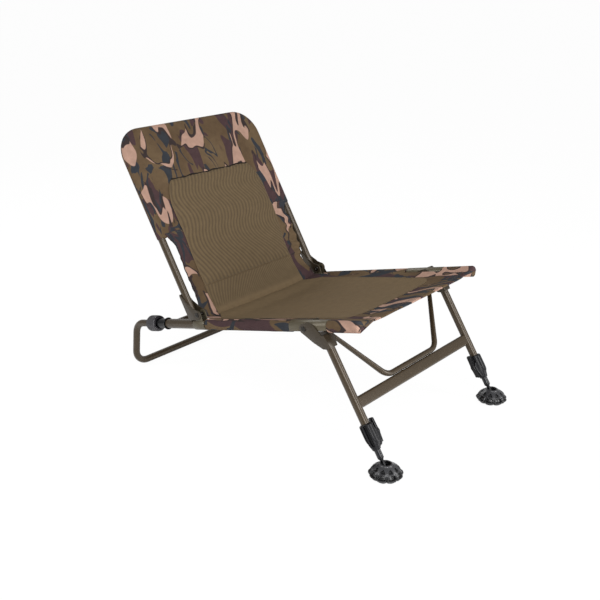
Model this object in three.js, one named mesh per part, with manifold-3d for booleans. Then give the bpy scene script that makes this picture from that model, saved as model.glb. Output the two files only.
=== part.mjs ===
// Low fishing chair with a folding back, two telescopic front legs on swivelling mud feet
// and one sliding rear loop. Millimetres, +Z up, the sitter faces -Y, the origin is on the
// ground under the middle of the chair.
import * as THREE from 'three';
import { mergeVertices } from 'three/addons/utils/BufferGeometryUtils.js';
import Module from 'manifold-3d';

const wasm = await Module();
wasm.setup();

// Gaps and cuts
const SEAT_GAP = 0.3; // left between two pieces that touch
const RUNNING_GAP = 0.5; // left round a piece that turns or slides
const CUT_OVERRUN = 4; // how far a cutting tool runs past the piece it cuts

// Faceting
const TUBE_SIDES = 12;
const RAIL_SIDES = 16;
const BEND_STEPS = 4;
const ROUND_SIDES = 16;

// Side rails
const RAIL_SPACING = 470;
const RAIL_RADIUS = 12.5;
const RAIL_WALL = 1.5;
const RAIL_FRONT_REACH = 500; // from the recline pivot to the front end, along the rail
const RAIL_REAR_REACH = 135;
const SEAT_PITCH_DEG = 14.66; // the rails climb towards the front
const CAP_FLANGE = 2.5;
const CAP_PLUG = 16;
const SPREADER_RADIUS = 9.5;
const SPREADER_WALL = 1.2;
const SPREADER_SETBACK = 110; // behind the recline pivot, along the rail

// Rear loop and its twist locks
const LOOP_RADIUS = 9.5;
const LOOP_WALL = 1.2;
const LOOP_REACH = 274; // from the recline pivot to the top bend, along the rail
const LOOP_DROP = 128.5;
const LOOP_LEAN_DEG = 7.4; // of the drop, rearward from the vertical
const LOOP_BEND_RADIUS = 42;
const LOOP_INSERTION = 150; // length of each arm that stays inside its rail
const COLLET_RADIUS = 13.5;
const COLLET_FLANGE_RADIUS = 16;
const COLLET_FLANGE = 4;
const COLLET_NECK = 37; // from the flange to the nut
const COLLET_PLUG = 30; // inside the rail
const COLLET_JAW = 20; // inside the nut
const COLLET_SLOT = 1.6;
const COLLET_SLOTS = 4;
const NUT_RADIUS = 21.5;
const NUT_LENGTH = 31;
const NUT_CHAMFER = 4;
const NUT_LIP = 5;
const NUT_FLUTES = 16;
const NUT_FLUTE_DEPTH = 1.1;

// Back
const PIVOT_RISE = 26.6; // recline pivot above the rail axis
const BACK_LEAN_DEG = 31.27; // from the vertical
const BACK_OFFSET = 25; // hoop axis behind the pivot
const HOOP_RADIUS = 9.5;
const HOOP_WALL = 1.2;
const HOOP_TOP = 500; // axis of the top bar above the pivot, along the back
const HOOP_CORNER_RADIUS = 64;
const PLUG_FLANGE = 2.5;
const PLUG_LENGTH = 14;

// Sheet-metal hinges
const SHEET = 1.8;
const RIVET_RADIUS = 4;
const RIVET_HEAD_RADIUS = 6.5;
const RIVET_HEAD = 2.4;
const RIVET_DIMPLE_RADIUS = 2.6;
const RIVET_DIMPLE = 1.2;
const BOSS_RADIUS = 12.2;
const BACK_CHANNEL_TOP = 66; // top of the web above the pivot
const SADDLE_FRONT = 20; // rear saddle, ahead of the pivot
const SADDLE_REAR = 22;
const SADDLE_EAR_LENGTH = 25;

// Front legs
const LEG_PIVOT_REACH = RAIL_FRONT_REACH - 140; // from the recline pivot to the leg pivot
const LEG_PIVOT_DROP = 2.1; // below the rail axis
const LEG_LEAN_DEG = 33.2; // from the vertical
const LEG_OFFSET = 36.3; // leg axis ahead of its pivot
const LEG_RADIUS = 10;
const LEG_WALL = 1.2;
const LEG_CHANNEL_LENGTH = 63; // bottom of the web below the pivot
const KINK_TILT_DEG = 10; // of the line where its ears start to lean in, clear of the folded saddle
const FRONT_SADDLE_LENGTH = 111;
const FRONT_SADDLE_BEHIND = 47; // part of that length behind the pivot
const FRONT_SADDLE_SKIRT = 14.5; // below the rail axis
const BAR_DISTANCE = 199; // crossbar below the leg pivot, along the leg
const BAR_HEIGHT = 28;
const BAR_THICKNESS = 12;
const BAR_WALL = 1.2;
const BRACE_RADIUS = 7;
const BRACE_WALL = 1.2;
const BRACE_BASE_WIDTH = 203;
const BRACE_TOP_HEIGHT = 157.5; // rise of the brace arms, along the leg
const BRACE_BEND_RADIUS = 40;

// Leg locks, inner legs and feet
const LOCK_DISTANCE = 246; // top of the lock below the leg pivot, along the leg
const LOCK_LENGTH = 67;
const LOCK_RADIUS = 13.4;
const LOCK_TAPER = 30;
const LOCK_END_RADIUS = 10.2;
const LOCK_RIBS = 8;
const LOCK_RIB_DEPTH = 1.2;
const LEVER_REACH = 27; // from the leg axis
const LEVER_WIDTH = 11;
const LEVER_RISE = 6; // above the top of the lock
const LEVER_LENGTH = 59;
const LEVER_PIVOT_DOWN = 27; // below the top of the lock
const LEVER_THICKNESS = 7;
const CHEEK = 2.2;
const LEVER_PIN_RADIUS = 2;
const NOSE_THROW = 4; // room under the lever's nose for its release
const INNER_LEG_RADIUS = 7.5;
const INNER_LEG_WALL = 1.2;
const INNER_LEG_INSERTION = 150; // part of the inner leg above the lock's lower end
const BALL_RADIUS = 8;
const BALL_HEIGHT = 18; // above the sole
const NECK_RADIUS = 4.2;
const NECK_LENGTH = 30; // from the ball centre to the inner leg
const FOOT_RADIUS = 39.2;
const FOOT_SOLE_RADIUS = 34;
const FOOT_WAIST = 9; // height of the widest circle
const FOOT_HEIGHT = 36;
const FOOT_TOP_RADIUS = 12;
const FOOT_POCKETS = 8;
const FOOT_SWING_DEG = 34; // opening of the neck slot to each side of the leg

// Fabric
const CLOTH = 1.5;
const SEAT_SHEET = 3;
const SEAT_SAG = 8; // of the middle of the seat, below the rail axis
const SEAT_SAG_POWER = 3.5; // how sharply the sheet falls off from the rails
const SEAT_SHEET_END = 11; // behind the recline pivot
const FOLD_RISE = 13; // of the sheet's rear end above the sag
const FOLD_LENGTH = 70; // over which it rises
const SLEEVE_START = 23; // ahead of the recline pivot
const SEAT_FRONT_HEM = 8; // ahead of the rail ends
const HEM_THICKNESS = 7;
const HEM_WIDTH = 20;
const SLING_HALF_WIDTH = RAIL_SPACING / 2 - 26; // free edge of the sling between the hinges
const POCKET_BOTTOM = 216; // lower edge of the pocket over the hoop, from the pivot
const HEADREST_PAD = 8;
const HEADREST_CROWN = 5;
const PAD_HALF_WIDTH = RAIL_SPACING / 2 - 67;
const PAD_TOP = 352; // above the pivot
const PAD_BOTTOM = 64;
const PAD_THICKNESS = 9;
const PAD_CROWN = 6;
const PAD_CORNER_RADIUS = 30;
const LUMBAR_SHEET = 3;
const LUMBAR_SET = 3; // of its lower edge, ahead of its upper edge
const FOLD_DROP = 12; // of its lower edge below the pivot

// Derived sizes
const rad = THREE.MathUtils.degToRad;
const HALF_SPACING = RAIL_SPACING / 2;
const PITCH = rad(SEAT_PITCH_DEG);
const BACK_TURN = rad(BACK_LEAN_DEG - SEAT_PITCH_DEG);
const LEG_TURN = rad(LEG_LEAN_DEG - SEAT_PITCH_DEG);
const RAIL_TOP = RAIL_RADIUS * Math.cos(Math.PI / RAIL_SIDES);
const LOOP_DROP_TURN = rad(LOOP_LEAN_DEG) + PITCH;
const SEAT_BASE = LOOP_DROP * Math.cos(rad(LOOP_LEAN_DEG)) + LOOP_RADIUS + LOOP_REACH * Math.sin(PITCH);

// Materials
const materials = {
  steel: { color: 0x4f4838, roughness: 0.38, metalness: 0.35 },
  rivet: { color: 0x3a352b, roughness: 0.35, metalness: 0.6 },
  plastic: { color: 0x17181a, roughness: 0.5, metalness: 0 },
  rubber: { color: 0x1b1c1e, roughness: 0.75, metalness: 0 },
  innerLeg: { color: 0x202225, roughness: 0.4, metalness: 0.4 },
  camo: { color: 0x4b3e2a, roughness: 0.9, metalness: 0 },
  mesh: { color: 0x6b5a42, roughness: 0.95, metalness: 0 },
};

function node(name, geometry, material) {
  const mesh = new THREE.Mesh(geometry, new THREE.MeshStandardMaterial(materials[material]));
  mesh.name = name;
  return mesh;
}

// Joining and cutting of closed shapes
function toSolid(geometry) {
  const bare = geometry.clone();
  bare.deleteAttribute('normal');
  bare.deleteAttribute('uv');
  const merged = mergeVertices(bare, 1e-4);
  const index = merged.index.array;
  const kept = [];
  for (let i = 0; i < index.length; i += 3) {
    const [a, b, c] = [index[i], index[i + 1], index[i + 2]];
    if (a !== b && b !== c && c !== a) kept.push(a, b, c);
  }
  return new wasm.Manifold(new wasm.Mesh({
    numProp: 3,
    vertProperties: new Float32Array(merged.attributes.position.array),
    triVerts: new Uint32Array(kept),
  }));
}

function toGeometry(solid) {
  const mesh = solid.getMesh();
  const geometry = new THREE.BufferGeometry();
  geometry.setAttribute('position', new THREE.BufferAttribute(new Float32Array(mesh.vertProperties), 3));
  geometry.setIndex(new THREE.BufferAttribute(new Uint32Array(mesh.triVerts), 1));
  const faces = geometry.toNonIndexed();
  faces.computeVertexNormals();
  return faces;
}

function join(...geometries) {
  return toGeometry(geometries.map(toSolid).reduce((whole, piece) => whole.add(piece)));
}

function cut(geometry, ...tools) {
  return toGeometry(tools.map(toSolid).reduce((whole, tool) => whole.subtract(tool), toSolid(geometry)));
}

function overlap(geometry, tool) {
  return toGeometry(toSolid(geometry).intersect(toSolid(tool)));
}

// Outlines
function ringOfPoints(radius, sides, squash = 1) {
  return Array.from({ length: sides }, (unused, i) => {
    const angle = (i + 0.5) * 2 * Math.PI / sides;
    return new THREE.Vector2(radius * Math.cos(angle), radius * squash * Math.sin(angle));
  });
}

function tubeOutline(radius, wall, sides = TUBE_SIDES) {
  const outline = new THREE.Shape(ringOfPoints(radius, sides));
  if (wall > 0) outline.holes.push(new THREE.Path(ringOfPoints(radius - wall, sides).reverse()));
  return outline;
}

function slotPoints(width, height, sides = TUBE_SIDES) {
  const radius = width / 2;
  const rise = height / 2 - radius;
  return ringOfPoints(radius, sides).map((p) => new THREE.Vector2(p.x, p.y + Math.sign(p.y) * rise));
}

// Points of an arc in a side view, with angles in degrees from the rear towards the top
function arcPoints(centre, radius, fromDeg, toDeg, steps) {
  return Array.from({ length: steps + 1 }, (unused, i) => {
    const angle = rad(fromDeg + (toDeg - fromDeg) * i / steps);
    return new THREE.Vector2(centre.x + radius * Math.cos(angle), centre.y + radius * Math.sin(angle));
  });
}

// A route of straight runs and round bends, kept as stations with exact tangents
class BentRoute extends THREE.Curve {
  constructor(corners, bendRadius) {
    super();
    this.stations = [];
    corners.forEach((corner, i) => {
      const before = corners[i - 1];
      const after = corners[i + 1];
      if (!before || !after) {
        const run = before ? corner.clone().sub(before) : after.clone().sub(corner);
        this.stations.push({ point: corner.clone(), tangent: run.normalize() });
        return;
      }
      const arrive = corner.clone().sub(before).normalize();
      const leave = after.clone().sub(corner).normalize();
      const turn = arrive.angleTo(leave);
      const start = corner.clone().addScaledVector(arrive, -bendRadius * Math.tan(turn / 2));
      const inward = leave.clone().addScaledVector(arrive, -arrive.dot(leave)).normalize();
      for (let step = 0; step <= BEND_STEPS; step += 1) {
        const angle = turn * step / BEND_STEPS;
        const point = start.clone()
          .addScaledVector(arrive, bendRadius * Math.sin(angle))
          .addScaledVector(inward, bendRadius * (1 - Math.cos(angle)));
        const tangent = arrive.clone().multiplyScalar(Math.cos(angle)).addScaledVector(inward, Math.sin(angle));
        this.stations.push({ point, tangent });
      }
    });
  }

  get steps() {
    return this.stations.length - 1;
  }

  getPoint(t) {
    return this.stations[Math.round(t * this.steps)].point.clone();
  }

  getTangent(t) {
    return this.stations[Math.round(t * this.steps)].tangent.clone();
  }

  getPointAt(t) {
    return this.getPoint(t);
  }

  getTangentAt(t) {
    return this.getTangent(t);
  }
}

function bentTube(route, radius, wall, sides = TUBE_SIDES) {
  return new THREE.ExtrudeGeometry(tubeOutline(radius, wall, sides), {
    extrudePath: route,
    steps: route.steps,
    bevelEnabled: false,
  });
}

// An outline seen from the side, with its y to the rear and z up, made thick along X
const AXIS_X = new THREE.Vector3(1, 0, 0);
const AXIS_Y = new THREE.Vector3(0, 1, 0);
const AXIS_Z = new THREE.Vector3(0, 0, 1);
const SIDE_VIEW = new THREE.Matrix4().makeBasis(AXIS_Y, AXIS_Z, AXIS_X);
const REAR_VIEW = new THREE.Matrix4().makeBasis(AXIS_X, AXIS_Z, AXIS_Y.clone().negate());

function sidePlate(outline, fromX, toX) {
  const shape = outline instanceof THREE.Shape ? outline : new THREE.Shape(outline);
  const plate = new THREE.ExtrudeGeometry(shape, { depth: toX - fromX, bevelEnabled: false });
  return plate.applyMatrix4(SIDE_VIEW).translate(fromX, 0, 0);
}

// An outline seen along Y, with its x and z, made long from fromY back to toY
function lengthPlate(outline, fromY, toY) {
  const shape = outline instanceof THREE.Shape ? outline : new THREE.Shape(outline);
  const plate = new THREE.ExtrudeGeometry(shape, { depth: toY - fromY, bevelEnabled: false });
  return plate.applyMatrix4(REAR_VIEW).translate(0, toY, 0);
}

function block(fromX, toX, fromY, toY, fromZ, toZ) {
  return new THREE.BoxGeometry(toX - fromX, toY - fromY, toZ - fromZ)
    .translate((fromX + toX) / 2, (fromY + toY) / 2, (fromZ + toZ) / 2);
}

// Turned pieces: profile points are [radius, height], the axis is Z or X
function turned(profile, sides = ROUND_SIDES) {
  const points = profile.map(([radius, height]) => new THREE.Vector2(radius, height));
  return new THREE.LatheGeometry(points, sides).rotateX(Math.PI / 2);
}

function crossPin(radius, halfLength, y, z, sides = ROUND_SIDES / 2) {
  return sidePlate(ringOfPoints(radius, sides), -halfLength, halfLength).translate(0, y, z);
}

// A rivet across X with two domed heads, the outer one dimpled
function rivet(halfSpan) {
  const gripped = halfSpan + SEAT_GAP;
  const end = gripped + RIVET_HEAD;
  const rim = gripped + RIVET_HEAD / 2;
  const profile = [
    [0, -end + RIVET_DIMPLE], [RIVET_DIMPLE_RADIUS, -end], [RIVET_HEAD_RADIUS * 0.72, -end],
    [RIVET_HEAD_RADIUS, -rim], [RIVET_HEAD_RADIUS, -gripped], [RIVET_RADIUS, -gripped],
    [RIVET_RADIUS, gripped], [RIVET_HEAD_RADIUS, gripped], [RIVET_HEAD_RADIUS, rim],
    [RIVET_HEAD_RADIUS * 0.72, end], [RIVET_DIMPLE_RADIUS, end], [0, end - RIVET_DIMPLE],
  ];
  return turned(profile, ROUND_SIDES / 2).rotateY(Math.PI / 2);
}

// Side rails, in the seat frame: y along the rail to the rear, z square to it
function railTube() {
  const tube = lengthPlate(tubeOutline(RAIL_RADIUS, RAIL_WALL, RAIL_SIDES), -RAIL_FRONT_REACH, RAIL_REAR_REACH);
  const hole = crossPin(RIVET_RADIUS + RUNNING_GAP, RAIL_RADIUS + CUT_OVERRUN, -LEG_PIVOT_REACH, -LEG_PIVOT_DROP);
  return cut(tube, hole);
}

function railCap() {
  const plugRadius = (RAIL_RADIUS - RAIL_WALL) * Math.cos(Math.PI / RAIL_SIDES) - SEAT_GAP;
  const profile = [
    [0, -CAP_PLUG], [plugRadius * 0.88, -CAP_PLUG], [plugRadius, -CAP_PLUG * 0.85], [plugRadius, SEAT_GAP],
    [RAIL_RADIUS, SEAT_GAP], [RAIL_RADIUS, CAP_FLANGE * 0.6], [RAIL_RADIUS * 0.86, CAP_FLANGE], [0, CAP_FLANGE],
  ];
  return turned(profile, RAIL_SIDES).rotateX(Math.PI / 2).translate(0, -RAIL_FRONT_REACH, 0);
}

function spreaderTube() {
  const route = new BentRoute([new THREE.Vector3(-HALF_SPACING, 0, 0), new THREE.Vector3(HALF_SPACING, 0, 0)], 0);
  const tube = bentTube(route, SPREADER_RADIUS, SPREADER_WALL);
  const railSpace = lengthPlate(ringOfPoints(RAIL_RADIUS + SEAT_GAP, RAIL_SIDES), -SPREADER_RADIUS - CUT_OVERRUN,
    SPREADER_RADIUS + CUT_OVERRUN);
  const outside = HALF_SPACING + RAIL_RADIUS + CUT_OVERRUN;
  const tools = [-1, 1].flatMap((side) => [
    railSpace.clone().translate(side * HALF_SPACING, 0, 0),
    block(-RAIL_RADIUS, RAIL_RADIUS, -outside, outside, -outside, outside)
      .translate(side * (HALF_SPACING + RAIL_RADIUS), 0, 0),
  ]);
  return cut(tube, ...tools);
}

// Rear loop: two arms in the rails, down to one bar on the ground
function loopTube() {
  const start = RAIL_REAR_REACH - LOOP_INSERTION;
  const barBack = LOOP_REACH + LOOP_DROP * Math.sin(LOOP_DROP_TURN);
  const barDown = -LOOP_DROP * Math.cos(LOOP_DROP_TURN);
  const corners = [
    new THREE.Vector3(-HALF_SPACING, start, 0),
    new THREE.Vector3(-HALF_SPACING, LOOP_REACH, 0),
    new THREE.Vector3(-HALF_SPACING, barBack, barDown),
    new THREE.Vector3(HALF_SPACING, barBack, barDown),
    new THREE.Vector3(HALF_SPACING, LOOP_REACH, 0),
    new THREE.Vector3(HALF_SPACING, start, 0),
  ];
  return bentTube(new BentRoute(corners, LOOP_BEND_RADIUS), LOOP_RADIUS, LOOP_WALL);
}

// Collet: a plug in the rail, a flange, a plain neck and slotted jaws, turned about Z
function colletBody() {
  const bore = LOOP_RADIUS + SEAT_GAP;
  const plugRadius = (RAIL_RADIUS - RAIL_WALL) * Math.cos(Math.PI / RAIL_SIDES) - SEAT_GAP;
  const neckEnd = COLLET_FLANGE + COLLET_NECK;
  const jawEnd = neckEnd + COLLET_JAW;
  const jawRadius = COLLET_RADIUS * 0.9;
  const profile = [
    [bore, -COLLET_PLUG], [plugRadius, -COLLET_PLUG], [plugRadius, SEAT_GAP],
    [COLLET_FLANGE_RADIUS, SEAT_GAP], [COLLET_FLANGE_RADIUS, COLLET_FLANGE * 0.7],
    [COLLET_FLANGE_RADIUS * 0.94, COLLET_FLANGE], [COLLET_RADIUS, COLLET_FLANGE], [COLLET_RADIUS, neckEnd],
    [jawRadius, jawEnd - COLLET_JAW / 4], [(jawRadius + bore) / 2, jawEnd], [bore, jawEnd], [bore, -COLLET_PLUG],
  ];
  const slots = Array.from({ length: COLLET_SLOTS }, (unused, i) => block(0, COLLET_RADIUS + CUT_OVERRUN,
    -COLLET_SLOT / 2, COLLET_SLOT / 2, neckEnd, jawEnd + CUT_OVERRUN).rotateZ(2 * Math.PI * i / COLLET_SLOTS));
  return cut(turned(profile), ...slots);
}

// Twist nut: fluted grip with a stepped bore over the collet jaws
function nutBody() {
  const bore = COLLET_RADIUS + RUNNING_GAP;
  const lipBore = LOOP_RADIUS + RUNNING_GAP;
  const grip = Array.from({ length: NUT_FLUTES * 2 }, (unused, i) => {
    const angle = 2 * Math.PI * (i + 0.5) / (NUT_FLUTES * 2);
    const radius = i % 2 < 1 ? NUT_RADIUS : NUT_RADIUS - NUT_FLUTE_DEPTH;
    return new THREE.Vector2(radius * Math.cos(angle), radius * Math.sin(angle));
  });
  const body = new THREE.ExtrudeGeometry(new THREE.Shape(grip), { depth: NUT_LENGTH, bevelEnabled: false });
  const envelope = turned([
    [0, 0], [NUT_RADIUS - NUT_CHAMFER / 4, 0], [NUT_RADIUS, NUT_CHAMFER / 2],
    [NUT_RADIUS, NUT_LENGTH - NUT_CHAMFER], [NUT_RADIUS - NUT_CHAMFER, NUT_LENGTH], [0, NUT_LENGTH],
  ], NUT_FLUTES * 2);
  const hole = turned([
    [0, -CUT_OVERRUN], [bore, -CUT_OVERRUN], [bore, NUT_LENGTH - NUT_LIP - COLLET_JAW / 4],
    [lipBore, NUT_LENGTH - NUT_LIP + COLLET_JAW / 8], [lipBore, NUT_LENGTH + CUT_OVERRUN],
    [0, NUT_LENGTH + CUT_OVERRUN],
  ]);
  return cut(overlap(body, envelope), hole);
}

// Rear saddle: sheet round the rail that pinches in to two ears at the recline pivot
function rearSaddle() {
  const inner = RAIL_RADIUS + SEAT_GAP;
  const outer = inner + SHEET;
  const earOuter = HOOP_RADIUS;
  const earInner = earOuter - SHEET;
  const earTop = PIVOT_RISE + BOSS_RADIUS;
  const outerLeave = Math.acos(earOuter / outer) * 180 / Math.PI;
  const innerLeave = Math.acos(earInner / inner) * 180 / Math.PI;
  const centre = new THREE.Vector2(0, 0);
  const outline = [
    ...arcPoints(centre, outer, 180 - outerLeave, 360 + outerLeave, ROUND_SIDES),
    new THREE.Vector2(earOuter, earTop), new THREE.Vector2(earInner, earTop),
    ...arcPoints(centre, inner, 360 + innerLeave, 180 - innerLeave, ROUND_SIDES),
    new THREE.Vector2(-earInner, earTop), new THREE.Vector2(-earOuter, earTop),
  ];
  const sheet = lengthPlate(outline, -SADDLE_FRONT, SADDLE_REAR);
  const shoulder = RAIL_TOP - SHEET;
  const half = SADDLE_EAR_LENGTH / 2;
  const side = [
    new THREE.Vector2(-SADDLE_FRONT - CUT_OVERRUN, -outer - CUT_OVERRUN),
    new THREE.Vector2(SADDLE_REAR + CUT_OVERRUN, -outer - CUT_OVERRUN),
    new THREE.Vector2(SADDLE_REAR + CUT_OVERRUN, shoulder),
    new THREE.Vector2(half, shoulder),
    ...arcPoints(new THREE.Vector2(0, PIVOT_RISE), BOSS_RADIUS - SHEET / 2, 0, 180, ROUND_SIDES / 3),
    new THREE.Vector2(-half, shoulder),
    new THREE.Vector2(-SADDLE_FRONT - CUT_OVERRUN, shoulder),
  ];
  const kept = overlap(sheet, sidePlate(side, -outer - CUT_OVERRUN, outer + CUT_OVERRUN));
  return cut(kept, crossPin(RIVET_RADIUS + RUNNING_GAP, outer + CUT_OVERRUN, 0, PIVOT_RISE));
}

// Front saddle: sheet over the rail with straight skirts on both sides
function frontSaddle() {
  const inner = RAIL_RADIUS + SEAT_GAP;
  const outer = inner + SHEET;
  const centre = new THREE.Vector2(0, 0);
  const outline = [
    new THREE.Vector2(outer, -FRONT_SADDLE_SKIRT),
    ...arcPoints(centre, outer, 0, 180, ROUND_SIDES / 2),
    new THREE.Vector2(-outer, -FRONT_SADDLE_SKIRT), new THREE.Vector2(-inner, -FRONT_SADDLE_SKIRT),
    ...arcPoints(centre, inner, 180, 0, ROUND_SIDES / 2),
    new THREE.Vector2(inner, -FRONT_SADDLE_SKIRT),
  ];
  const rear = -LEG_PIVOT_REACH + FRONT_SADDLE_BEHIND;
  const sheet = lengthPlate(outline, rear - FRONT_SADDLE_LENGTH, rear);
  const hole = crossPin(RIVET_RADIUS + RUNNING_GAP, outer + CUT_OVERRUN, -LEG_PIVOT_REACH, -LEG_PIVOT_DROP);
  return cut(sheet, hole);
}

// Back hinge channel, in the back frame: a web behind the hoop tube and two gusset ears that
// run forward to the pivot
function stopLevel(y) {
  return (RAIL_RADIUS + SEAT_GAP * 2 - PIVOT_RISE + Math.sin(BACK_TURN) * y) / Math.cos(BACK_TURN);
}

function backChannel() {
  const inner = HOOP_RADIUS + SEAT_GAP;
  const outer = inner + SHEET;
  const webBack = BACK_OFFSET + outer;
  const topFront = BACK_OFFSET + HOOP_RADIUS * 0.55;
  const outline = [
    new THREE.Vector2(webBack, stopLevel(webBack)),
    new THREE.Vector2(webBack, BACK_CHANNEL_TOP - SHEET * 3),
    new THREE.Vector2(webBack - SHEET, BACK_CHANNEL_TOP),
    new THREE.Vector2(topFront, BACK_CHANNEL_TOP - SHEET),
    new THREE.Vector2(BACK_OFFSET * 0.62, BACK_CHANNEL_TOP * 0.55),
    new THREE.Vector2(BACK_OFFSET * 0.24, BACK_CHANNEL_TOP * 0.3),
    ...arcPoints(new THREE.Vector2(0, 0), BOSS_RADIUS, 135, 285, ROUND_SIDES / 3),
    new THREE.Vector2(BACK_OFFSET * 0.4, stopLevel(BACK_OFFSET * 0.4)),
  ];
  const whole = sidePlate(outline, -outer, outer);
  const space = BACK_OFFSET + inner;
  const gap = block(-inner, inner, -BACK_OFFSET * 2, space, -BACK_CHANNEL_TOP, BACK_CHANNEL_TOP * 2);
  return cut(whole, gap, crossPin(RIVET_RADIUS + RUNNING_GAP, outer + CUT_OVERRUN, 0, 0));
}

// Leg hinge channel, in the leg frame: a web ahead of the leg and two ears that run back to the
// pivot, upright beside the rail and tapering in to the leg below it
const CHANNEL_PIVOT_INNER = RAIL_RADIUS + SHEET + SEAT_GAP * 2 + RUNNING_GAP;
const CHANNEL_LEG_INNER = LEG_RADIUS + SEAT_GAP;

function skirtLevel(y) {
  return (LEG_PIVOT_DROP - FRONT_SADDLE_SKIRT - SEAT_GAP * 2 + Math.sin(LEG_TURN) * y) / Math.cos(LEG_TURN);
}

function legChannel() {
  const outer = CHANNEL_PIVOT_INNER + SHEET;
  const webFront = -LEG_OFFSET - LEG_RADIUS - SEAT_GAP - SHEET;
  const webBack = -LEG_OFFSET - LEG_RADIUS - SEAT_GAP;
  const outline = [
    ...arcPoints(new THREE.Vector2(0, 0), BOSS_RADIUS, -50, 96, ROUND_SIDES / 3),
    new THREE.Vector2(-LEG_OFFSET * 0.6, BOSS_RADIUS * 0.86),
    new THREE.Vector2(-LEG_OFFSET * 0.86, BOSS_RADIUS * 0.2),
    new THREE.Vector2(-LEG_OFFSET, BOSS_RADIUS * -0.95),
    new THREE.Vector2(webBack, skirtLevel(webBack)),
    new THREE.Vector2(webFront, skirtLevel(webFront)),
    new THREE.Vector2(webFront, -LEG_CHANNEL_LENGTH),
    new THREE.Vector2(-LEG_OFFSET, -LEG_CHANNEL_LENGTH),
    new THREE.Vector2(-LEG_OFFSET + LEG_RADIUS, -LEG_CHANNEL_LENGTH + LEG_RADIUS * 0.4),
  ];
  const whole = sidePlate(outline, -outer, outer);
  const gap = block(-CHANNEL_PIVOT_INNER, CHANNEL_PIVOT_INNER, webBack, BOSS_RADIUS * 2, -LEG_CHANNEL_LENGTH * 2,
    LEG_CHANNEL_LENGTH);
  const hole = crossPin(RIVET_RADIUS + RUNNING_GAP, outer + CUT_OVERRUN, 0, 0);
  // The ears start to lean in from a line that stays clear of the saddle when the leg is folded
  const kink = new THREE.Vector2(Math.sin(rad(KINK_TILT_DEG)), Math.cos(rad(KINK_TILT_DEG)));
  const along = (y, z) => kink.x * y + kink.y * z;
  const kinkLevel = along(webFront, skirtLevel(webFront));
  const depthAtFoot = kinkLevel - along(-LEG_OFFSET, -LEG_CHANNEL_LENGTH);
  const taper = (CHANNEL_PIVOT_INNER - CHANNEL_LEG_INNER) / depthAtFoot;
  const flat = toSolid(cut(whole, gap, hole));
  const normal = [0, kink.x, kink.y];
  const above = flat.splitByPlane(normal, kinkLevel - SEAT_GAP)[0];
  const below = flat.splitByPlane(normal, kinkLevel)[1];
  const lean = below.warp((point) => {
    const depth = Math.max(0, kinkLevel - along(point[1], point[2]));
    point[0] -= Math.sign(point[0]) * taper * depth;
  });
  return toGeometry(above.add(lean));
}

// Back hoop, in the back frame
const HOOP_FOOT = (RAIL_TOP - PIVOT_RISE + SEAT_GAP * 2 + PLUG_FLANGE
  + Math.sin(BACK_TURN) * (BACK_OFFSET + HOOP_RADIUS)) / Math.cos(BACK_TURN);

function hoopRoute(foot) {
  const corners = [
    new THREE.Vector3(-HALF_SPACING, BACK_OFFSET, foot),
    new THREE.Vector3(-HALF_SPACING, BACK_OFFSET, HOOP_TOP),
    new THREE.Vector3(HALF_SPACING, BACK_OFFSET, HOOP_TOP),
    new THREE.Vector3(HALF_SPACING, BACK_OFFSET, foot),
  ];
  return new BentRoute(corners, HOOP_CORNER_RADIUS);
}

// Plug of an open tube end, turned about Z with its flange below the tube end at z = 0
function endPlug(radius, wall, flange, length) {
  const plugRadius = (radius - wall) * Math.cos(Math.PI / TUBE_SIDES) - SEAT_GAP;
  return turned([
    [0, -flange], [radius * 0.86, -flange], [radius, -flange * 0.6], [radius, -SEAT_GAP],
    [plugRadius, -SEAT_GAP], [plugRadius, length * 0.85], [plugRadius * 0.88, length], [0, length],
  ], TUBE_SIDES);
}

// Front leg, in the leg frame
const LEG_TOP = (LEG_PIVOT_DROP - FRONT_SADDLE_SKIRT - SEAT_GAP * 2 - PLUG_FLANGE
  - Math.sin(LEG_TURN) * (LEG_OFFSET + LEG_RADIUS)) / Math.cos(LEG_TURN);
const LOCK_TOP = -LOCK_DISTANCE;
const LOCK_BOTTOM = LOCK_TOP - LOCK_LENGTH;
const LEG_BOTTOM = LOCK_TOP - LOCK_LENGTH * 0.6;

function uprightTube(radius, wall, bottom, top) {
  const tube = new THREE.ExtrudeGeometry(tubeOutline(radius, wall), { depth: top - bottom, bevelEnabled: false });
  return tube.translate(0, 0, bottom);
}

function crossbar() {
  const outline = new THREE.Shape(slotPoints(BAR_THICKNESS, BAR_HEIGHT));
  outline.holes.push(new THREE.Path(slotPoints(BAR_THICKNESS - BAR_WALL * 2, BAR_HEIGHT - BAR_WALL * 2).reverse()));
  const bar = sidePlate(outline, -HALF_SPACING, HALF_SPACING);
  const reach = BAR_HEIGHT + CUT_OVERRUN;
  const tools = [-1, 1].map((side) => new THREE.ExtrudeGeometry(
    new THREE.Shape(ringOfPoints(LEG_RADIUS + SEAT_GAP, TUBE_SIDES)),
    { depth: reach * 2, bevelEnabled: false },
  ).translate(side * HALF_SPACING, 0, -reach));
  const outside = HALF_SPACING + LEG_RADIUS;
  const ends = [-1, 1].map((side) => block(-LEG_RADIUS, LEG_RADIUS, -reach, reach, -reach, reach)
    .translate(side * outside, 0, 0));
  return cut(bar, ...tools, ...ends).translate(0, -LEG_OFFSET, -BAR_DISTANCE);
}

// Brace between the crossbar and the two leg channels, in the leg frame
const BRACE_BASE = -BAR_DISTANCE + BAR_HEIGHT / 2 + BRACE_RADIUS + SEAT_GAP;
const BRACE_END_X = HALF_SPACING - CHANNEL_PIVOT_INNER - SHEET - SEAT_GAP;

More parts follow.
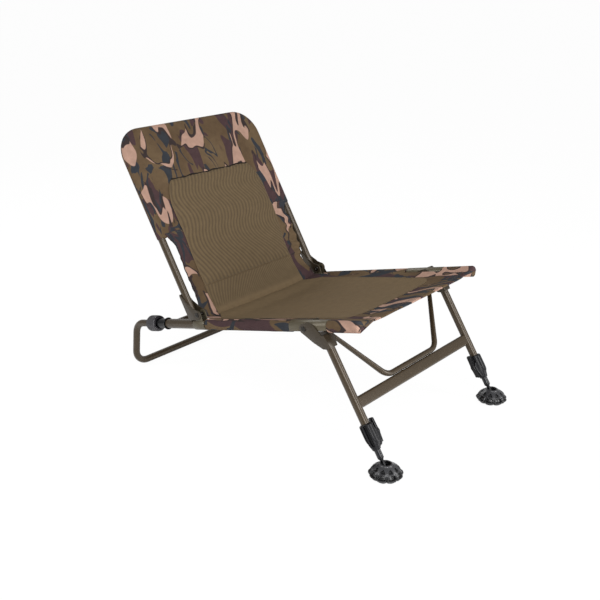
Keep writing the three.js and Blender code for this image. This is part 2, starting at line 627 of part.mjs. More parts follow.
function braceTube() {
  const run = BRACE_END_X - BRACE_BASE_WIDTH / 2;
  const spare = BRACE_RADIUS * 3 / run;
  const topY = -LEG_OFFSET * 0.55;
  const end = (side) => new THREE.Vector3(
    side * (BRACE_END_X + run * spare),
    topY + (topY + LEG_OFFSET) * spare,
    BRACE_BASE + BRACE_TOP_HEIGHT * (1 + spare),
  );
  const base = (side) => new THREE.Vector3(side * BRACE_BASE_WIDTH / 2, -LEG_OFFSET, BRACE_BASE);
  const route = new BentRoute([end(-1), base(-1), base(1), end(1)], BRACE_BEND_RADIUS);
  const tube = bentTube(route, BRACE_RADIUS, BRACE_WALL);
  const reach = BAR_DISTANCE * 2;
  const ends = [-1, 1].map((side) => block(0, reach, -reach, reach, -reach, reach)
    .translate(side < 0 ? -BRACE_END_X - reach : BRACE_END_X, 0, 0));
  return cut(tube, ...ends);
}

// Leg lock, turned about Z with its lever on the side given by inward
const LEVER_INNER = LEVER_REACH - LEVER_THICKNESS - CHEEK;
const LEVER_PIVOT_X = LEVER_REACH - LEVER_THICKNESS * 0.75;
const LEVER_PIVOT_Z = LOCK_TOP - LEVER_PIVOT_DOWN;
const NOSE_Z = LEG_BOTTOM - LEVER_THICKNESS;

function lockHousing(inward) {
  const collar = turned([
    [0, LOCK_BOTTOM], [LOCK_END_RADIUS, LOCK_BOTTOM], [LOCK_END_RADIUS + LOCK_RIB_DEPTH, LOCK_BOTTOM + SHEET],
    [LOCK_RADIUS, LOCK_BOTTOM + LOCK_TAPER], [LOCK_RADIUS, LOCK_TOP - SHEET],
    [LOCK_RADIUS - SHEET / 2, LOCK_TOP], [0, LOCK_TOP],
  ]);
  const cheekHalf = LEVER_WIDTH / 2 + RUNNING_GAP + CHEEK;
  const cheekTop = LEVER_PIVOT_Z + LEVER_THICKNESS * 1.6;
  const cheekBottom = LOCK_BOTTOM + LOCK_TAPER * 0.35;
  const cheekOutline = new THREE.Shape([
    new THREE.Vector2(0, cheekBottom), new THREE.Vector2(LEVER_INNER, cheekBottom),
    new THREE.Vector2(LEVER_REACH - CHEEK, LEVER_PIVOT_Z - LEVER_THICKNESS),
    new THREE.Vector2(LEVER_REACH - CHEEK, LEVER_PIVOT_Z + LEVER_THICKNESS * 0.7),
    new THREE.Vector2(LEVER_INNER, cheekTop), new THREE.Vector2(0, cheekTop),
  ]);
  const turnOut = new THREE.Matrix4().makeBasis(AXIS_X, AXIS_Z, AXIS_Y.clone().negate());
  const cheeks = new THREE.ExtrudeGeometry(cheekOutline, { depth: cheekHalf * 2, bevelEnabled: false })
    .applyMatrix4(turnOut).translate(0, cheekHalf, 0);
  const bay = block(LOCK_RADIUS - SHEET / 2, LEVER_REACH + CUT_OVERRUN, -LEVER_WIDTH / 2 - RUNNING_GAP,
    LEVER_WIDTH / 2 + RUNNING_GAP, LOCK_BOTTOM, LOCK_TOP);
  const window = block(0, LEVER_REACH, -LEVER_WIDTH / 4 - RUNNING_GAP, LEVER_WIDTH / 4 + RUNNING_GAP,
    NOSE_Z - LEVER_THICKNESS / 2 - NOSE_THROW, NOSE_Z + LEVER_THICKNESS / 2 + RUNNING_GAP);
  const pinHole = new THREE.CylinderGeometry(LEVER_PIN_RADIUS + SEAT_GAP, LEVER_PIN_RADIUS + SEAT_GAP,
    cheekHalf * 2 + CUT_OVERRUN, ROUND_SIDES / 2).translate(LEVER_PIVOT_X, 0, LEVER_PIVOT_Z);
  const upperBore = turned([
    [0, LEG_BOTTOM - SEAT_GAP], [LEG_RADIUS + SEAT_GAP, LEG_BOTTOM - SEAT_GAP],
    [LEG_RADIUS + SEAT_GAP, LOCK_TOP + CUT_OVERRUN], [0, LOCK_TOP + CUT_OVERRUN],
  ]);
  const lowerBore = turned([
    [0, LOCK_BOTTOM - CUT_OVERRUN], [INNER_LEG_RADIUS + SEAT_GAP, LOCK_BOTTOM - CUT_OVERRUN],
    [INNER_LEG_RADIUS + SEAT_GAP, LOCK_TOP], [0, LOCK_TOP],
  ]);
  const grooves = Array.from({ length: LOCK_RIBS }, (unused, i) => new THREE.CylinderGeometry(LOCK_RIB_DEPTH,
    LOCK_RIB_DEPTH, LOCK_LENGTH - LOCK_TAPER, 6).rotateX(Math.PI / 2)
    .translate(LOCK_RADIUS, 0, LOCK_TOP - (LOCK_LENGTH - LOCK_TAPER) / 2 - SHEET * 2)
    .rotateZ(2 * Math.PI * (i + 0.5) / LOCK_RIBS))
    .filter((unused, i) => i > 0 && i < LOCK_RIBS - 1);
  const body = cut(join(collar, cheeks), bay, window, pinHole, upperBore, lowerBore, ...grooves);
  return inward > 0 ? body : body.rotateZ(Math.PI);
}

function lockLever(inward) {
  const top = LOCK_TOP + LEVER_RISE;
  const bottom = top - LEVER_LENGTH;
  const back = LEVER_REACH - LEVER_THICKNESS;
  const noseTip = INNER_LEG_RADIUS + RUNNING_GAP;
  const outline = new THREE.Shape([
    new THREE.Vector2(back, bottom), new THREE.Vector2(LEVER_REACH - CHEEK, bottom),
    new THREE.Vector2(LEVER_REACH, LEVER_PIVOT_Z - LEVER_THICKNESS),
    new THREE.Vector2(LEVER_REACH + CHEEK, LEVER_PIVOT_Z),
    new THREE.Vector2(LEVER_REACH, LEVER_PIVOT_Z + LEVER_THICKNESS),
    new THREE.Vector2(LEVER_REACH - CHEEK * 0.4, top - CHEEK), new THREE.Vector2(back + CHEEK, top),
    new THREE.Vector2(back, top - CHEEK), new THREE.Vector2(back + CHEEK * 0.5, LEVER_PIVOT_Z + LEVER_THICKNESS),
    new THREE.Vector2(back, NOSE_Z + LEVER_THICKNESS / 2),
  ]);
  const turnOut = new THREE.Matrix4().makeBasis(AXIS_X, AXIS_Z, AXIS_Y.clone().negate());
  const half = LEVER_WIDTH / 2;
  const body = new THREE.ExtrudeGeometry(outline, { depth: half * 2, bevelEnabled: false })
    .applyMatrix4(turnOut).translate(0, half, 0);
  const nose = block(noseTip, back + CHEEK, -half / 2, half / 2, NOSE_Z - LEVER_THICKNESS / 2,
    NOSE_Z + LEVER_THICKNESS / 2);
  const pinHole = new THREE.CylinderGeometry(LEVER_PIN_RADIUS + SEAT_GAP, LEVER_PIN_RADIUS + SEAT_GAP,
    LEVER_WIDTH + CUT_OVERRUN, ROUND_SIDES / 2).translate(LEVER_PIVOT_X, 0, LEVER_PIVOT_Z);
  const lever = cut(join(body, nose), pinHole);
  return inward > 0 ? lever : lever.rotateZ(Math.PI);
}

function leverPin(inward) {
  const half = LEVER_WIDTH / 2 + RUNNING_GAP + CHEEK;
  return new THREE.CylinderGeometry(LEVER_PIN_RADIUS, LEVER_PIN_RADIUS, half * 2, ROUND_SIDES / 2)
    .translate(inward * LEVER_PIVOT_X, 0, LEVER_PIVOT_Z);
}

// Inner leg with its ball end. The ball centre lies where the foot stands flat on the ground.
const PIVOT_GROUND = SEAT_BASE + LEG_PIVOT_REACH * Math.sin(PITCH) - LEG_PIVOT_DROP * Math.cos(PITCH);
const LEG_LEAN = rad(LEG_LEAN_DEG);
const BALL_DISTANCE = (PIVOT_GROUND + LEG_OFFSET * Math.sin(LEG_LEAN) - BALL_HEIGHT) / Math.cos(LEG_LEAN);
const INNER_LEG_END = -BALL_DISTANCE + NECK_LENGTH;

function ballEnd() {
  const plugRadius = (INNER_LEG_RADIUS - INNER_LEG_WALL) * Math.cos(Math.PI / TUBE_SIDES) - SEAT_GAP;
  const ball = Array.from({ length: 7 }, (unused, i) => {
    const angle = Math.PI * i / 7 * 0.83;
    return [BALL_RADIUS * Math.sin(angle), -BALL_RADIUS * Math.cos(angle)];
  });
  return turned([
    ...ball, [NECK_RADIUS, BALL_RADIUS * 0.9], [NECK_RADIUS, NECK_LENGTH * 0.74],
    [INNER_LEG_RADIUS, NECK_LENGTH * 0.9], [INNER_LEG_RADIUS, NECK_LENGTH - SEAT_GAP],
    [plugRadius, NECK_LENGTH - SEAT_GAP], [plugRadius, NECK_LENGTH + PLUG_LENGTH],
    [0, NECK_LENGTH + PLUG_LENGTH],
  ], TUBE_SIDES).translate(0, 0, -BALL_DISTANCE);
}

// Mud foot, turned about Z with its sole at z = 0: a dome with pockets round the rim, a socket
// for the ball and a slot at the rear that the neck leans into
function mudFoot() {
  const shoulder = FOOT_WAIST + (FOOT_HEIGHT - FOOT_WAIST) * 0.45;
  const dome = turned([
    [0, 0], [FOOT_SOLE_RADIUS, 0], [FOOT_RADIUS * 0.96, FOOT_WAIST * 0.4], [FOOT_RADIUS, FOOT_WAIST],
    [FOOT_RADIUS * 0.95, FOOT_WAIST * 1.4], [FOOT_RADIUS * 0.74, shoulder],
    [FOOT_TOP_RADIUS * 1.5, FOOT_HEIGHT * 0.88], [FOOT_TOP_RADIUS, FOOT_HEIGHT], [0, FOOT_HEIGHT],
  ], FOOT_POCKETS * 3);
  const pocketRadius = FOOT_RADIUS * 0.26;
  const pockets = Array.from({ length: FOOT_POCKETS }, (unused, i) => {
    const tool = new THREE.CylinderGeometry(pocketRadius * 0.55, pocketRadius, FOOT_RADIUS * 0.5, 8)
      .rotateZ(-Math.PI / 2).scale(1, 1, 0.62);
    return tool.rotateY(-0.35).translate(FOOT_RADIUS * 1.02, 0, FOOT_WAIST * 1.15)
      .rotateZ(2 * Math.PI * (i + 0.5) / FOOT_POCKETS);
  });
  const socket = new THREE.SphereGeometry(BALL_RADIUS + SEAT_GAP, 16, 10).rotateX(Math.PI / 2)
    .translate(0, 0, BALL_HEIGHT);
  const slotHalf = NECK_RADIUS + RUNNING_GAP * 2;
  const steep = rad(LEG_LEAN_DEG - FOOT_SWING_DEG);
  const low = rad(LEG_LEAN_DEG + FOOT_SWING_DEG);
  const far = FOOT_RADIUS * 1.6;
  const slotFloor = BALL_HEIGHT - BALL_RADIUS / 2;
  const slotOutline = [
    new THREE.Vector2(-slotHalf, BALL_HEIGHT), new THREE.Vector2(0, slotFloor),
    new THREE.Vector2(far * Math.sin(low), slotFloor + far * Math.cos(low)),
    new THREE.Vector2(far * Math.sin(steep), BALL_HEIGHT + far * Math.cos(steep)),
    new THREE.Vector2(-slotHalf, FOOT_HEIGHT + CUT_OVERRUN),
  ];
  const slot = sidePlate(slotOutline, -slotHalf, slotHalf);
  return cut(dome, socket, slot, ...pockets);
}

// A closed sheet over a grid: place(u, v) gives the front point, thick(u, v) the way to the back
function sheetBody(columns, rows, place, thick) {
  const front = [];
  const back = [];
  for (let j = 0; j <= rows; j += 1) {
    for (let i = 0; i <= columns; i += 1) {
      const u = 2 * i / columns - 1;
      const v = j / rows;
      const point = place(u, v);
      front.push(point);
      back.push(point.clone().add(thick(u, v)));
    }
  }
  const count = front.length;
  const at = (i, j) => j * (columns + 1) + i;
  const faces = [];
  const quad = (a, b, c, d) => faces.push(a, b, c, a, c, d);
  for (let j = 0; j < rows; j += 1) {
    for (let i = 0; i < columns; i += 1) {
      quad(at(i, j), at(i + 1, j), at(i + 1, j + 1), at(i, j + 1));
      quad(count + at(i, j + 1), count + at(i + 1, j + 1), count + at(i + 1, j), count + at(i, j));
    }
  }
  for (let i = 0; i < columns; i += 1) {
    quad(count + at(i, 0), count + at(i + 1, 0), at(i + 1, 0), at(i, 0));
    quad(at(i, rows), at(i + 1, rows), count + at(i + 1, rows), count + at(i, rows));
  }
  for (let j = 0; j < rows; j += 1) {
    quad(at(0, j), at(0, j + 1), count + at(0, j + 1), count + at(0, j));
    quad(count + at(columns, j), count + at(columns, j + 1), at(columns, j + 1), at(columns, j));
  }
  const geometry = new THREE.BufferGeometry().setFromPoints([...front, ...back]);
  geometry.setIndex(faces);
  return geometry;
}

// Seat sling, in the seat frame: rail sleeves, a front hem and a panel that leaves the rail
// tops, sags between them and rises at the rear to the crease with the lower back panel
function seatHeight(x, y) {
  const fall = Math.abs(x / HALF_SPACING) ** SEAT_SAG_POWER;
  const rise = THREE.MathUtils.smoothstep(y, SEAT_SHEET_END - FOLD_LENGTH, SEAT_SHEET_END);
  return -SEAT_SAG + (RAIL_TOP + SEAT_SAG) * fall + FOLD_RISE * rise * (1 - fall);
}

function seatCover() {
  const sleeve = new THREE.Shape(ringOfPoints(RAIL_RADIUS + SEAT_GAP + CLOTH, RAIL_SIDES));
  const frontEnd = -RAIL_FRONT_REACH - SEAT_FRONT_HEM;
  const sleeves = [-1, 1].map((side) => lengthPlate(sleeve, frontEnd, -SLEEVE_START)
    .translate(side * HALF_SPACING, 0, 0));
  const panelFront = frontEnd + HEM_THICKNESS / 2;
  const panel = sheetBody(20, 14,
    (u, v) => {
      const x = HALF_SPACING * u;
      const y = THREE.MathUtils.lerp(panelFront, SEAT_SHEET_END, 1 - (1 - v) ** 1.5);
      return new THREE.Vector3(x, y, seatHeight(x, y));
    },
    () => new THREE.Vector3(0, 0, -SEAT_SHEET));
  const hem = sheetBody(20, 1,
    (u, v) => {
      const x = HALF_SPACING * u;
      return new THREE.Vector3(x, frontEnd + HEM_WIDTH * v, seatHeight(x, frontEnd) + SEAT_SHEET * (1 - v) / 4);
    },
    (u, v) => new THREE.Vector3(0, 0, -SEAT_SHEET - (HEM_THICKNESS - SEAT_SHEET) * (1 - v)));
  const railSpace = new THREE.Shape(ringOfPoints(RAIL_RADIUS + SEAT_GAP, RAIL_SIDES));
  const capEnd = -RAIL_FRONT_REACH - CAP_FLANGE - SEAT_GAP;
  const saddleRear = -LEG_PIVOT_REACH + FRONT_SADDLE_BEHIND;
  const notchHalf = CHANNEL_PIVOT_INNER + SHEET + RIVET_HEAD + SEAT_GAP * 2;
  const reach = BOSS_RADIUS * 2;
  const margin = RAIL_RADIUS * 2;
  const tools = [-1, 1].flatMap((side) => [
    lengthPlate(railSpace, capEnd, CUT_OVERRUN).translate(side * HALF_SPACING, 0, 0),
    block(-notchHalf, notchHalf, saddleRear - FRONT_SADDLE_LENGTH - SEAT_GAP * 2, saddleRear + SEAT_GAP * 2,
      -reach, reach).translate(side * HALF_SPACING, 0, 0),
    block(-margin, margin, -SLEEVE_START, SEAT_SHEET_END + CUT_OVERRUN, -reach, reach)
      .translate(side * (SLING_HALF_WIDTH + margin), 0, 0),
  ]);
  return cut(join(panel, ...sleeves, hem), ...tools);
}

// Back pocket, in the back frame: a padded front layer and a sleeve that follows the hoop
function padOutline(grow) {
  const half = PAD_HALF_WIDTH + grow;
  const top = PAD_TOP + grow;
  const corner = PAD_CORNER_RADIUS;
  return [
    new THREE.Vector2(-half, PAD_BOTTOM - grow), new THREE.Vector2(half, PAD_BOTTOM - grow),
    ...arcPoints(new THREE.Vector2(half - corner, top - corner), corner, 0, 90, 5),
    ...arcPoints(new THREE.Vector2(-half + corner, top - corner), corner, 90, 180, 5),
  ];
}

function backPocket() {
  const outer = HOOP_RADIUS + SEAT_GAP + CLOTH;
  const top = HOOP_TOP + outer;
  const half = HALF_SPACING + outer;
  const corner = HOOP_CORNER_RADIUS + outer;
  const frontY = BACK_OFFSET - outer;
  const crownAt = (x, z) => {
    const across = Math.max(0, 1 - (x / HALF_SPACING) ** 4);
    const up = Math.max(0, 1 - ((z - (PAD_TOP + HOOP_TOP) / 2) / ((HOOP_TOP - PAD_TOP) / 2)) ** 2);
    return HEADREST_CROWN * across * up;
  };
  const panelHalf = HALF_SPACING;
  const panel = sheetBody(12, 12,
    (u, v) => {
      const x = u * panelHalf;
      const z = POCKET_BOTTOM + (HOOP_TOP - POCKET_BOTTOM) * v;
      return new THREE.Vector3(x, frontY - crownAt(x, z), z);
    },
    (u, v) => {
      const z = POCKET_BOTTOM + (HOOP_TOP - POCKET_BOTTOM) * v;
      return new THREE.Vector3(0, HEADREST_PAD + crownAt(u * panelHalf, z), 0);
    });
  const envelope = lengthPlate([
    new THREE.Vector2(-half, POCKET_BOTTOM), new THREE.Vector2(half, POCKET_BOTTOM),
    ...arcPoints(new THREE.Vector2(half - corner, top - corner), corner, 0, 90, 8),
    ...arcPoints(new THREE.Vector2(-half + corner, top - corner), corner, 90, 180, 8),
  ], -half, half);
  const sleeve = bentTube(hoopRoute(POCKET_BOTTOM), outer, 0);
  const tunnel = bentTube(hoopRoute(HOOP_FOOT), HOOP_RADIUS + SEAT_GAP, 0);
  const recess = lengthPlate(padOutline(SEAT_GAP), -half, half);
  return cut(join(overlap(panel, envelope), sleeve), tunnel, recess);
}

// Mesh pad of the back, crowned and drawn in at its edges
function backPad() {
  const rearY = BACK_OFFSET - HOOP_RADIUS - SEAT_GAP - CLOTH + HEADREST_PAD;
  const edge = (t) => Math.max(0, 1 - Math.abs(t) ** 6) ** 0.5;
  const height = PAD_TOP - PAD_BOTTOM;
  const swell = (u, v) => (PAD_THICKNESS * 0.5) + (PAD_THICKNESS * 0.5 + PAD_CROWN * (1 - u * u))
    * edge(u) * edge(2 * v - 1);
  const pad = sheetBody(16, 14,
    (u, v) => new THREE.Vector3(u * PAD_HALF_WIDTH, rearY - swell(u, v), PAD_BOTTOM + height * v),
    (u, v) => new THREE.Vector3(0, swell(u, v), 0));
  return overlap(pad, lengthPlate(padOutline(0), -PAD_HALF_WIDTH, PAD_HALF_WIDTH));
}

// Lower back panel: side strips beside the pad and one web below it
function lowerPanel() {
  const rearY = BACK_OFFSET - HOOP_RADIUS - SEAT_GAP - CLOTH + HEADREST_PAD;
  const sheet = sheetBody(8, 8,
    (u, v) => new THREE.Vector3(u * SLING_HALF_WIDTH, rearY - LUMBAR_SHEET - LUMBAR_SET * (1 - v),
      THREE.MathUtils.lerp(-FOLD_DROP, POCKET_BOTTOM - SEAT_GAP, v)),
    () => new THREE.Vector3(0, LUMBAR_SHEET, 0));
  return cut(sheet, lengthPlate(padOutline(SEAT_GAP), -HALF_SPACING, HALF_SPACING));
}

// Assembly
const chair = new THREE.Group();
const seatFrame = new THREE.Group();
seatFrame.position.set(0, 0, SEAT_BASE);
seatFrame.rotation.x = -PITCH;
chair.add(seatFrame);

const backFrame = new THREE.Group();
backFrame.position.set(0, 0, PIVOT_RISE);
backFrame.rotation.x = -BACK_TURN;
seatFrame.add(backFrame);

const legFrame = new THREE.Group();
legFrame.position.set(0, -LEG_PIVOT_REACH, -LEG_PIVOT_DROP);
legFrame.rotation.x = -LEG_TURN;
seatFrame.add(legFrame);

seatFrame.add(node('rear_spreader', spreaderTube().translate(0, SPREADER_SETBACK, 0), 'steel'));
seatFrame.add(node('rear_loop', loopTube(), 'steel'));
seatFrame.add(node('seat_cover', seatCover(), 'camo'));
backFrame.add(node('back_hoop', bentTube(hoopRoute(HOOP_FOOT), HOOP_RADIUS, HOOP_WALL), 'steel'));
backFrame.add(node('back_pocket', backPocket(), 'camo'));
backFrame.add(node('back_pad', backPad(), 'mesh'));
backFrame.add(node('lower_back_panel', lowerPanel(), 'mesh'));
legFrame.add(node('leg_crossbar', crossbar(), 'steel'));
legFrame.add(node('leg_brace', braceTube(), 'steel'));

// The sitter's right is -X
for (const [label, side] of [['right', -1], ['left', 1]]) {
  const x = side * HALF_SPACING;
  const inward = -side;

  seatFrame.add(node(`rail_${label}`, railTube().translate(x, 0, 0), 'steel'));
  seatFrame.add(node(`rail_cap_${label}`, railCap().translate(x, 0, 0), 'plastic'));
  seatFrame.add(node(`rear_saddle_${label}`, rearSaddle().translate(x, 0, 0), 'steel'));
  seatFrame.add(node(`front_saddle_${label}`, frontSaddle().translate(x, 0, 0), 'steel'));
  const backwards = (geometry, y) => geometry.rotateX(-Math.PI / 2).translate(x, y, 0);
  seatFrame.add(node(`collet_${label}`, backwards(colletBody(), RAIL_REAR_REACH), 'plastic'));
  const nutY = RAIL_REAR_REACH + COLLET_FLANGE + COLLET_NECK;
  seatFrame.add(node(`lock_nut_${label}`, backwards(nutBody(), nutY), 'plastic'));

  backFrame.add(node(`back_hinge_${label}`, backChannel().translate(x, 0, 0), 'steel'));
  const backGrip = HOOP_RADIUS + SEAT_GAP + SHEET;
  backFrame.add(node(`back_rivet_${label}`, rivet(backGrip).translate(x, 0, 0), 'rivet'));
  const hoopPlug = endPlug(HOOP_RADIUS, HOOP_WALL, PLUG_FLANGE, PLUG_LENGTH);
  backFrame.add(node(`hoop_plug_${label}`, hoopPlug.translate(x, BACK_OFFSET, HOOP_FOOT), 'plastic'));

  legFrame.add(node(`leg_hinge_${label}`, legChannel().translate(x, 0, 0), 'steel'));
  legFrame.add(node(`leg_rivet_${label}`, rivet(CHANNEL_PIVOT_INNER + SHEET).translate(x, 0, 0), 'rivet'));
  const legTube = uprightTube(LEG_RADIUS, LEG_WALL, LEG_BOTTOM, LEG_TOP).translate(x, -LEG_OFFSET, 0);
  legFrame.add(node(`front_leg_${label}`, legTube, 'steel'));
  const legPlug = endPlug(LEG_RADIUS, LEG_WALL, PLUG_FLANGE, PLUG_LENGTH).rotateY(Math.PI);
  legFrame.add(node(`leg_plug_${label}`, legPlug.translate(x, -LEG_OFFSET, LEG_TOP), 'plastic'));
  const onLeg = (geometry) => geometry.translate(x, -LEG_OFFSET, 0);
  legFrame.add(node(`leg_lock_${label}`, onLeg(lockHousing(inward)), 'plastic'));
  legFrame.add(node(`lock_lever_${label}`, onLeg(lockLever(inward)), 'plastic'));
  legFrame.add(node(`lever_pin_${label}`, onLeg(leverPin(inward)), 'rivet'));
  const innerTop = LOCK_BOTTOM + INNER_LEG_INSERTION;
  const innerTube = uprightTube(INNER_LEG_RADIUS, INNER_LEG_WALL, INNER_LEG_END, innerTop);
  legFrame.add(node(`inner_leg_${label}`, onLeg(innerTube), 'innerLeg'));
  legFrame.add(node(`foot_ball_${label}`, onLeg(ballEnd()), 'plastic'));

  // The foot stands level, so it is placed from the ball centre in the chair's own frame
  const foot = node(`mud_foot_${label}`, mudFoot(), 'rubber');
  legFrame.updateWorldMatrix(true, false);
  const ball = legFrame.localToWorld(new THREE.Vector3(x, -LEG_OFFSET, -BALL_DISTANCE));
  foot.position.set(ball.x, ball.y, 0);
  chair.add(foot);
}

// The origin goes under the middle of the whole chair
const bounds = new THREE.Box3().setFromObject(chair, true);
chair.position.y = -(bounds.min.y + bounds.max.y) / 2;

const group = new THREE.Group();
group.add(chair);
export default group;
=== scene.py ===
# %% [markdown]
# A low folding fishing chair: painted steel tube, a camouflage sling seat and black plastic
# locks and feet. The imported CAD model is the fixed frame. Every piece below is built in the
# maker's own axes (along the rail, up the back, down the leg) in millimetres, and is then put
# in its place by one matrix, so a length here is the length that a tape would read.

# %% Load the frame
import math

import bmesh
import bpy
import numpy as np
from mathutils import Matrix, Vector, noise
from mathutils.bvhtree import BVHTree


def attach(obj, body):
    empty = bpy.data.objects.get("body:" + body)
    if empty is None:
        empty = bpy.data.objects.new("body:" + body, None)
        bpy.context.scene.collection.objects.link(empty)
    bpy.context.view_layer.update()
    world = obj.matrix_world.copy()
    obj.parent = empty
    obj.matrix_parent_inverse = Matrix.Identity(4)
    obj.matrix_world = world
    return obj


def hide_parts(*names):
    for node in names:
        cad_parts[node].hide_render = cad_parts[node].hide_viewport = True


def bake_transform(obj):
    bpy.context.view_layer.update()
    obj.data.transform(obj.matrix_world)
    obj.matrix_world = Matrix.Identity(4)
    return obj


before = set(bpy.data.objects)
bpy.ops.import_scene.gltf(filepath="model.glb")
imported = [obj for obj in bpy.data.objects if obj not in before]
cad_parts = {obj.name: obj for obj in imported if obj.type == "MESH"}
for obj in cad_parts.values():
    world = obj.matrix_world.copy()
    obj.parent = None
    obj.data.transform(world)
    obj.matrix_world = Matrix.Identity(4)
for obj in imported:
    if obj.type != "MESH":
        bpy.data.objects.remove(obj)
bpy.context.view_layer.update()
MM = 0.001


def workshop(y, z, lean_deg):
    """Axes of one welded frame: its pivot stands at y, z and it leans back by lean_deg."""
    return Matrix.Translation((0, y, z)) @ Matrix.Rotation(-math.radians(lean_deg), 4, "X") @ Matrix.Scale(MM, 4)


SEAT = workshop(0.157137, 0.206274, 14.66)  # y along the rails to the rear, z square to them
BACK = workshop(0.163869, 0.232008, 31.27)  # z up the back, y behind it
LEG = workshop(-0.191674, 0.295352, 33.20)  # z up the leg
GROUND = Matrix.Scale(MM, 4)
HALF = 235.0  # half the distance between the rails
SIDES = (("right", -1), ("left", 1))

# %% [markdown]
# The camera stands where the photograph was taken from. A 52 mm lens on a 36 mm wide frame
# looks down at the chair's front right.

# %% Camera
camera = bpy.data.objects.new("camera", bpy.data.cameras.new("camera"))
bpy.context.scene.collection.objects.link(camera)
camera.data.lens = 51.73
camera.data.sensor_width = 36
camera.location = (-1.5959, -1.3377, 1.0534)
camera.rotation_mode = "QUATERNION"
camera.rotation_quaternion = Vector((0.7064, 0.6076, -0.3631)).to_track_quat("-Z", "Y")
bpy.context.scene.camera = camera
bpy.context.scene.view_settings.view_transform = "Standard"
print("camera at", tuple(round(c, 3) for c in camera.location))

# %% [markdown]
# A node material is quickest to read when each node is one line. Two small helpers add a node
# and join sockets, and the rest of the script uses only those.


# %% Node helpers
def add(tree, kind, label=None, **values):
    """One node, with its settings and unlinked socket values."""
    node = tree.nodes.new(kind)
    node.label = label or ""
    for key, value in values.items():
        if hasattr(node, key):
            setattr(node, key, value)
        else:
            node.inputs[key.replace("_", " ")].default_value = value
    return node


def join(tree, source, target):
    tree.links.new(source, target)


def math_node(tree, operation, a, b=None, clamp=False):
    node = add(tree, "ShaderNodeMath", operation=operation, use_clamp=clamp)
    for socket, value in zip(node.inputs, (a, b)):
        if value is None:
            continue
        if isinstance(value, (int, float)):
            socket.default_value = value
        else:
            join(tree, value, socket)
    return node.outputs[0]


def mix_colour(tree, factor, a, b):
    node = add(tree, "ShaderNodeMix", data_type="RGBA")
    for socket, value in ((node.inputs[0], factor), (node.inputs[6], a), (node.inputs[7], b)):
        if isinstance(value, (int, float, tuple)):
            socket.default_value = value
        else:
            join(tree, value, socket)
    return node.outputs[2]


def step_mask(tree, value, low, high):
    """0 below low, 1 above high, smooth between."""
    node = add(tree, "ShaderNodeMapRange", interpolation_type="SMOOTHSTEP")
    node.inputs["From Min"].default_value = low
    node.inputs["From Max"].default_value = high
    join(tree, value, node.inputs["Value"])
    return node.outputs["Result"]


def rgb(code):
    """A screen colour such as 4f4838 as linear light."""
    parts = [int(code[i:i + 2], 16) / 255 for i in (0, 2, 4)]
    return tuple(c / 12.92 if c <= 0.04045 else ((c + 0.055) / 1.055) ** 2.4 for c in parts) + (1.0,)


def group(name, inputs, outputs):
    """A shader node group with typed sockets."""
    tree = bpy.data.node_groups.new(name, "ShaderNodeTree")
    kinds = {"v": "NodeSocketVector", "f": "NodeSocketFloat", "c": "NodeSocketColor"}
    for key, kind, value in inputs:
        socket = tree.interface.new_socket(key, in_out="INPUT", socket_type=kinds[kind])
        if value is not None:
            socket.default_value = value
    for key, kind in outputs:
        tree.interface.new_socket(key, in_out="OUTPUT", socket_type=kinds[kind])
    return tree, add(tree, "NodeGroupInput"), add(tree, "NodeGroupOutput")


def material(name, **principled):
    made = bpy.data.materials.new(name)
    made.use_nodes = True
    shader = made.node_tree.nodes["Principled BSDF"]
    for key, value in principled.items():
        shader.inputs[key.replace("_", " ")].default_value = value
    return made, made.node_tree, shader


def use_group(tree, shared, **values):
    node = add(tree, "ShaderNodeGroup")
    node.node_tree = shared
    for key, value in values.items():
        node.inputs[key.replace("_", " ")].default_value = value
    return node


def bump(tree, shader, height, strength, distance):
    node = add(tree, "ShaderNodeBump")
    node.inputs["Strength"].default_value = strength
    node.inputs["Distance"].default_value = distance
    join(tree, height, node.inputs["Height"])
    join(tree, node.outputs["Normal"], shader.inputs["Normal"])
    return node


# %% [markdown]
# Paint and moulded plastic are never one flat colour. A shared group gives a faint mottling, a
# fine orange peel for the bump and a change of gloss, and each finish uses its own amounts.

# %% Shared group: surface grain
grain, given, out = group("surface_grain",
    [("Colour", "c", (0.1, 0.1, 0.1, 1)), ("Mottle", "f", 0.1), ("Gloss", "f", 0.4), ("Gloss spread", "f", 0.1),
     ("Grain size", "f", 900.0)],
    [("Colour", "c"), ("Roughness", "f"), ("Height", "f")])
place = add(grain, "ShaderNodeTexCoord").outputs["Object"]
broad = add(grain, "ShaderNodeTexNoise", Scale=22.0, Detail=3.0)
fine = add(grain, "ShaderNodeTexNoise", Detail=2.0)
join(grain, place, broad.inputs["Vector"])
join(grain, place, fine.inputs["Vector"])
join(grain, given.outputs["Grain size"], fine.inputs["Scale"])
lift = math_node(grain, "MULTIPLY", math_node(grain, "SUBTRACT", broad.outputs[0], 0.5), given.outputs["Mottle"])
tone = add(grain, "ShaderNodeHueSaturation")
join(grain, given.outputs["Colour"], tone.inputs["Color"])
join(grain, math_node(grain, "ADD", math_node(grain, "MULTIPLY", lift, 4.0), 1.0), tone.inputs["Value"])
join(grain, tone.outputs[0], out.inputs["Colour"])
spread = math_node(grain, "MULTIPLY", math_node(grain, "SUBTRACT", fine.outputs[0], 0.5),
                   given.outputs["Gloss spread"])
join(grain, math_node(grain, "ADD", given.outputs["Gloss"], math_node(grain, "MULTIPLY", spread, 2.0)),
     out.inputs["Roughness"])
join(grain, fine.outputs[0], out.inputs["Height"])
print("group", grain.name, "with", len(grain.nodes), "nodes")


